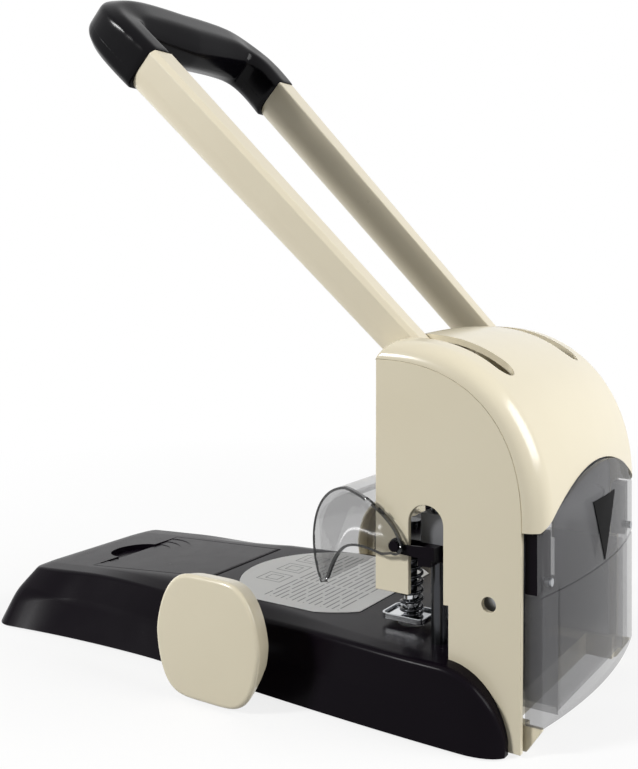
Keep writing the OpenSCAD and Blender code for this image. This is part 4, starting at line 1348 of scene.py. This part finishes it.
@dataclass
class PunchHead:
    """Carrier with pins, springs, presser plates and guard."""

    shop: Workshop
    wire: float = 1.7
    coil_d: float = 11.15
    turns: int = 9
    steps: int = 20
    spring_z: Flat = (43.0, 80.0)
    end_pitch: float = 2.1
    guard_pivot: Flat = (11.0, 89.4)
    guard_crest: Flat = (-17.7, 115.3)
    guard_tip: Flat = (-32.0, 64.5)
    guard_heel: Flat = (15.2, 89.0)
    heel_r: float = 4.6
    pivot_r: float = 2.05
    cheek_in: float = 77.1
    sheet: float = 2.2
    rim: float = 1.3

    def build(self) -> None:
        """Makes the head's pieces."""
        polish = self.shop.polish
        for side in Side:
            self.spring(side)
            plate = (f"presser_{side.word}", f"presser_plate_{side.word}")
            polish(*plate, Finish.CHROME, Body.PRESSERS, "chrome", 0.35)
            # Punch pins: steel painted dark, painted shade and the dark reflection of the tower's
            # inside between the coils
            pin = (f"punch_pin_{side.word}", f"hollow_pin_{side.word}")
            polish(*pin, Finish.BLACK_STEEL, Body.CARRIER, "steel", 0.15)
        self.guard()
        for node, name, kind, slot, edge_mm in (
            ("carrier_bar", "carrier_beam", Finish.BLACK_ABS, "black_plastic", 0.4),
            ("guard_screws", "guard_pivots", Finish.BLACK_ABS, "black_plastic", 0.25),
            ("guide_bushes", "guide_blocks", Finish.GREY_ACETAL, "grey_plastic", 0.5),
        ):
            polish(node, name, kind, Body.CARRIER, slot, edge_mm)
        self.shop.paint(Finish.STEEL, "drive_pin")

    def coil_z(self, turn: float) -> float:
        """Height of the wire's middle after so many turns: close ends, even pitch between."""
        low, high = self.spring_z[0] + self.wire / 2, self.spring_z[1] - self.wire / 2
        rest = self.turns - turn
        if turn < 1:
            return low + self.end_pitch * turn
        if rest < 1:
            return high - self.end_pitch * rest
        share = (turn - 1) / (self.turns - 2)
        return lerp(low + self.end_pitch, high - self.end_pitch, share)

    def spring(self, side: Side) -> None:
        """One pin spring between the presser plate and the carrier."""
        r, x = self.coil_d / 2, side.value * PIN_X
        line = []
        for k in range(self.turns * self.steps + 1):
            a = 2 * math.pi * k / self.steps
            line.append(Vector((x + r * math.cos(a), r * math.sin(a), self.coil_z(k / self.steps))))
        line.insert(0, line[0] - Vector((0, self.wire, 0)))
        line.append(line[-1] + Vector((0, self.wire, 0)))
        circle = arc((0.0, 0.0), 1, 0, 330, 11)
        rings = []
        for k, p in enumerate(line):
            ahead = line[min(k + 1, len(line) - 1)] - line[max(k - 1, 0)]
            out = ahead.cross(Vector((0, 0, 1))).normalized()
            lift = out.cross(ahead).normalized()
            rings.append([p + (out * u + lift * v) * self.wire / 2 for u, v in circle])
        coil = skin(f"coil_spring_{side.word}", rings)
        node = f"pin_spring_{side.word}"
        # The coil's dark steel is partly its own blackened finish, partly painted shade inside the
        # tower
        self.shop.sign_off(coil, Finish.BLACK_STEEL, None, "steel", [node], 50.0)
        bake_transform(coil)

    def guard(self) -> None:
        """The smoky guard: a bent front sheet between two hooked cheeks."""
        front = curve(self.guard_tip, (-41, 84), (-38, 113), self.guard_crest, 30)
        inner = curve((-12.1, 110.8), (-32.7, 114.3), (-38, 86), (-29, 66), 30)
        reach = self.cheek_in + 1
        profile = on_yz(-reach, [*front, (-11.5, 113), *inner])
        guard = prism("guard_shield", profile, (2 * reach, 0, 0))
        hook = list(front)
        hook += curve(self.guard_crest, (-8, 114), (14, 102), self.guard_heel, 24)[1:]
        hook += arc(self.guard_pivot, self.heel_r, -10, -110, 12)
        hook += curve((4, 84), (-6, 86), (-13, 88), (-19, 83), 16)
        hook += curve((-19.6, 82.4), (-24, 78), (-26, 71), (-28, 66.5), 12)
        for side in (-1, 1):
            cheek = prism("cheek", on_yz(side * self.cheek_in, hook), (side * self.sheet, 0, 0))
            at = (side * 70, *self.guard_pivot)
            cut(cheek, rod("bore", at, (side * 20, 0, 0), self.pivot_r))
            fuse(guard, cheek)
        soften(guard, 0.35, 45.0)
        self.shop.sign_off(
            guard, Finish.SMOKED_GUARD, Body.GUARD, "smoky_clear", ["guard"], 30.0
        )
        self.guard_rim(guard)

    def guard_rim(self, guard: Object) -> None:
        """Insets the cheeks' outer faces and darkens the rim and the cut edges."""
        guard.data.materials.append(self.shop.finish(Finish.SMOKED_EDGE))
        with editing(guard):
            bpy.ops.mesh.select_mode(type="FACE")
            bpy.ops.mesh.select_all(action="DESELECT")
        flat = (self.cheek_in + self.sheet - 0.1) * MM
        for face in guard.data.polygons:
            face.select = abs(face.center.x) > flat and abs(face.normal.x) > 0.98
        bpy.ops.object.mode_set(mode="EDIT")
        bpy.ops.mesh.inset(thickness=self.rim * MM, use_boundary=True, use_even_offset=False)
        bpy.ops.object.mode_set(mode="OBJECT")
        for face in guard.data.polygons:
            edge = abs(face.center.x) > flat or abs(face.normal.x) < 0.8
            if abs(face.center.x) > self.cheek_in * MM and edge and not face.select:
                face.material_index = 1
        LOG.info("guard rim: %d faces", sum(f.material_index for f in guard.data.polygons))


@dataclass
class Drawer:
    """Smoky chip drawer with its black marks."""

    shop: Workshop

    def build(self) -> None:
        """Makes the drawer's pieces."""
        for node, name, kind, slot, edge_mm in (
            ("chip_drawer", "chip_bin", Finish.SMOKED_DRAWER, "smoky_clear", 0.4),
            ("drawer_grips", "drawer_pulls", Finish.BLACK_ABS, "black_plastic", 0.6),
            ("drawer_studs", "drawer_rivets", Finish.STEEL, "steel", 0.3),
            ("drawer_arrow", "drawer_pointer", Finish.BLACK_INK, "black_plastic", 0.1),
        ):
            self.shop.polish(node, name, kind, Body.DRAWER, slot, edge_mm)


@dataclass
class Stops:
    """The two side stops on their rods."""

    shop: Workshop
    face_x: float = 110.0
    width: float = 68.0
    height: float = 65.0
    # Depth of the rim at the bottom and at the top, and how it grows with height
    depth: Flat = (3.0, 12.5)
    rim_start: float = 9.0
    rim_slope: float = 0.7
    middle: Flat = (-83.5, 33.2)
    # Outline: its power, the pinch at the top, the bottom's share of that, the pinch's power
    power: float = 5.0
    pinch: float = 0.3
    low_pinch: float = 0.75
    pinch_power: float = 1.6
    # Domed face, its rounded edge, the draft of the rim behind that, and the hollow's floor
    dome: float = 0.3
    edge_in: float = 2.2
    edge_deep: float = 2.1
    draft: float = 2.0
    draft_start: float = 2.4
    floor_at: Flat = (2.5, 6.0)
    # Boss that holds the rod
    boss_deep: float = 12.5
    boss_len: float = 11.0
    boss_r: float = 7.0
    bore_deep: float = 14.0
    bore_len: float = 9.5
    bore_r: float = 4.0

    def ring(
        self, depth: float, inset: float, scale: float = 1.0, follow: bool = False
    ) -> list[Point]:
        """One ring of the stop.

        Args:
            depth: Distance behind the face, or share of the rim where it follows that.
            inset: How far the ring lies inside the outline.
            scale: Share of the outline's size.
            follow: Whether the depth is a share of the rim, which is shallow at the bottom.

        Returns:
            The ring's points.
        """
        shallow, deep = self.depth
        out: list[Point] = []
        for k in range(144):
            c, s = math.cos(math.pi * k / 72), math.sin(math.pi * k / 72)
            r = (abs(c) ** self.power + abs(s) ** self.power) ** (-1 / self.power)
            pinch = self.pinch if s > 0 else self.low_pinch * self.pinch
            draw = 1 - pinch * abs(r * s) ** self.pinch_power
            low = self.middle[1] + self.height / 2 * r * s
            rim = min(deep, max(shallow, shallow + (low - self.rim_start) * self.rim_slope))
            back = depth * rim if follow else depth
            behind = max(0.0, back - self.draft_start)
            inward = inset + self.draft * behind / (deep - self.draft_start)
            y = self.middle[0] + (self.width / 2 - inward) * r * c * draw * scale
            z = self.middle[1] + (self.height / 2 - inward) * r * s * scale
            out.append((self.face_x - back, y, z))
        return out

    def build(self) -> None:
        """Makes both stops and dresses their rods."""
        for side in Side:
            self.stop(side)
            node, name = f"gauge_rod_{side.word}", f"stop_rod_{side.word}"
            self.shop.polish(node, name, Finish.CHROME, STOP_BODY[side], "chrome", 0.5)

    def stop(self, side: Side) -> None:
        """One dished stop with a nearly flat face and a rim that runs out below."""
        rings = [
            self.ring(self.dome * k * k, self.edge_in, k)
            for k in (0.04, 0.25, 0.5, 0.75, 0.9, 1.0)
        ]
        for k in range(1, 7):
            a = QUARTER * k / 6
            deep = self.dome + self.edge_deep * (1 - math.cos(a))
            rings.append(self.ring(deep, self.edge_in * (1 - math.sin(a))))
        rim = ((0.94, 0.0), (1.0, 0.5), (1.0, 1.4), (0.94, 1.9))
        rings += [self.ring(share, inset, follow=True) for share, inset in rim]
        rings.append(self.ring(2.9, 3.6))
        rings += [self.ring(*self.floor_at, k) for k in (1.0, 0.7, 0.35, 0.04)]
        piece = skin(f"side_stop_dish_{side.word}", rings)
        at = (self.face_x - self.boss_deep, ROD_Y[side], ROD_Z)
        boss = rod("boss", at, (self.boss_len, 0, 0), self.boss_r)
        at = (self.face_x - self.bore_deep, ROD_Y[side], ROD_Z)
        cut(boss, rod("bore", at, (self.bore_len, 0, 0), self.bore_r))
        soften(boss, 0.4)
        join(piece, boss)
        if side is Side.LEFT:
            whole = piece
            piece = mirrored(whole, "side_stop_dish_left_side")
            bpy.data.objects.remove(whole)
        node = f"side_stop_{side.word}"
        self.shop.sign_off(piece, Finish.CREAM_ABS, STOP_BODY[side], "cream_plastic", [node], 40.0)


@dataclass
class Studio:
    """Floor, lights and the camera at the photograph's place."""

    eye_mm: Point = (521.48, 254.54, 227.68)
    heading_deg: float = 33.03
    lens_mm: float = 47.97
    sensor_mm: float = 36.0
    shift_y: float = -0.1557
    fill: float = 0.08
    floor_m: float = 6.0
    floor_drop_m: float = 0.0005
    # The floor fades to plain white between these distances, from this share of white
    fade_m: Flat = (0.3, 0.8)
    fade_share: float = 0.8
    aim_m: Point = (0.0, -0.05, 0.15)

    def build(self) -> None:
        """Sets the stage."""
        self.camera()
        self.world()
        self.floor()
        self.lamp("key", (-0.3, 1.45, 0.95), 30.0, 1.0)
        self.lamp("side", (1.25, -0.8, 0.96), 20.0, 0.25)
        self.lamp("low", (-0.1, -1.3, 0.15), 10.0, 0.5, False)
        bpy.context.scene.view_settings.view_transform = "Standard"

    def camera(self) -> None:
        """Places a level camera whose lens shift frames the object as photographed."""
        made = bpy.data.cameras.new("camera")
        made.lens = self.lens_mm
        made.sensor_width = self.sensor_mm
        made.shift_y = self.shift_y
        made.clip_start = 0.01
        eye = placed("camera", made)
        eye.location = Vector(self.eye_mm) * MM
        eye.rotation_euler = (math.radians(90), 0, math.radians(90 + self.heading_deg))
        bpy.context.scene.camera = eye

    def looked_at(self, tree: NodeTree) -> NodeSocket:
        """One where the eye, a reflection or a clear wall looks, else zero."""
        ray = add_node(tree, "ShaderNodeLightPath")
        seen = ray.outputs["Is Camera Ray"]
        for kind in ("Is Glossy Ray", "Is Transmission Ray"):
            pair = {0: seen, 1: ray.outputs[kind]}
            seen = add_node(tree, "ShaderNodeMath", {"operation": "MAXIMUM"}, pair).outputs[0]
        return seen

    def world(self) -> None:
        """Even soft light from all round, white where the camera looks past the floor."""
        world = bpy.data.worlds.new("studio")
        bpy.context.scene.world = world
        world.use_nodes = True
        tree = world.node_tree
        tree.nodes.clear()
        plain = {"Color": (1, 1, 1, 1), "Strength": 1.0}
        white = add_node(tree, "ShaderNodeBackground", plain)
        cool = {"Color": (0.95, 0.96, 1.0, 1), "Strength": self.fill}
        soft = add_node(tree, "ShaderNodeBackground", cool)
        backs = [back.outputs["Background"] for back in (soft, white)]
        shaders = {0: self.looked_at(tree), 1: backs[0], 2: backs[1]}
        mix = add_node(tree, "ShaderNodeMixShader", links=shaders)
        add_node(tree, "ShaderNodeOutputWorld", links={"Surface": mix.outputs["Shader"]})

    def floor(self) -> None:
        """A plain pale floor that reads white and still takes the shadow."""
        deselect_all()
        bpy.ops.mesh.primitive_plane_add(size=self.floor_m, location=(0, 0, -self.floor_drop_m))
        ground = bpy.context.object
        ground.name = "floor"
        made, shader, place = blank_material("floor_pale")
        tree = made.node_tree
        shader.inputs["Roughness"].default_value = 0.8
        seen = self.looked_at(tree)
        cloud = add_node(tree, "ShaderNodeTexNoise", {"Scale": 2.0}, {"Vector": place})
        shades = {"data_type": "RGBA", 6: linear("#f6f6f5"), 7: linear("#f2f2f1")}
        pale = add_node(tree, "ShaderNodeMix", shades, {"Factor": cloud.outputs["Fac"]})
        dim = {"data_type": "RGBA", 6: linear("#8f8f8d")}
        mix = add_node(tree, "ShaderNodeMix", dim, {"Factor": seen, 7: pale.outputs[2]})
        tree.links.new(mix.outputs[2], shader.inputs["Base Color"])
        glow = add_node(tree, "ShaderNodeEmission", {"Color": (1, 1, 1, 1), "Strength": 1.0})
        far = add_node(tree, "ShaderNodeVectorMath", {"operation": "LENGTH"}, {0: place})
        near_m, far_m = self.fade_m
        fade = {"From Min": near_m, "From Max": far_m, "To Min": self.fade_share, "To Max": 1.0}
        share = add_node(tree, "ShaderNodeMapRange", fade, {"Value": far.outputs["Value"]})
        both = {0: seen, 1: share.outputs["Result"]}
        part = add_node(tree, "ShaderNodeMath", {"operation": "MULTIPLY"}, both)
        shaders = {0: part.outputs[0], 1: shader.outputs["BSDF"], 2: glow.outputs["Emission"]}
        blend = add_node(tree, "ShaderNodeMixShader", links=shaders)
        out = next(n for n in tree.nodes if n.type == "OUTPUT_MATERIAL")
        tree.links.new(blend.outputs["Shader"], out.inputs["Surface"])
        ground.data.materials.append(made)

    def lamp(self, name: str, place: Point, watts: float, size: float, glint: bool = True) -> None:
        """Adds a square soft box that faces the object.

        Args:
            name: The lamp's name.
            place: Its place in metres.
            watts: Its power.
            size: Its side in metres.
            glint: Whether glossy faces mirror it.
        """
        made = bpy.data.lights.new(name, "AREA")
        made.energy = watts
        made.size = size
        lamp = placed(name, made)
        lamp.location = place
        lamp.visible_glossy = glint
        way = Vector(self.aim_m) - Vector(place)
        lamp.rotation_euler = way.to_track_quat("-Z", "Y").to_euler()


def main() -> None:
    """Builds the punch and its stage."""
    logging.basicConfig(level=logging.INFO, format="%(message)s")
    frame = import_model()
    shop = Workshop(frame)
    for part in (Base(shop), Tower(shop), Lever(shop), PunchHead(shop), Drawer(shop), Stops(shop)):
        part.build()
    Studio().build()


if __name__ == "__main__":
    main()
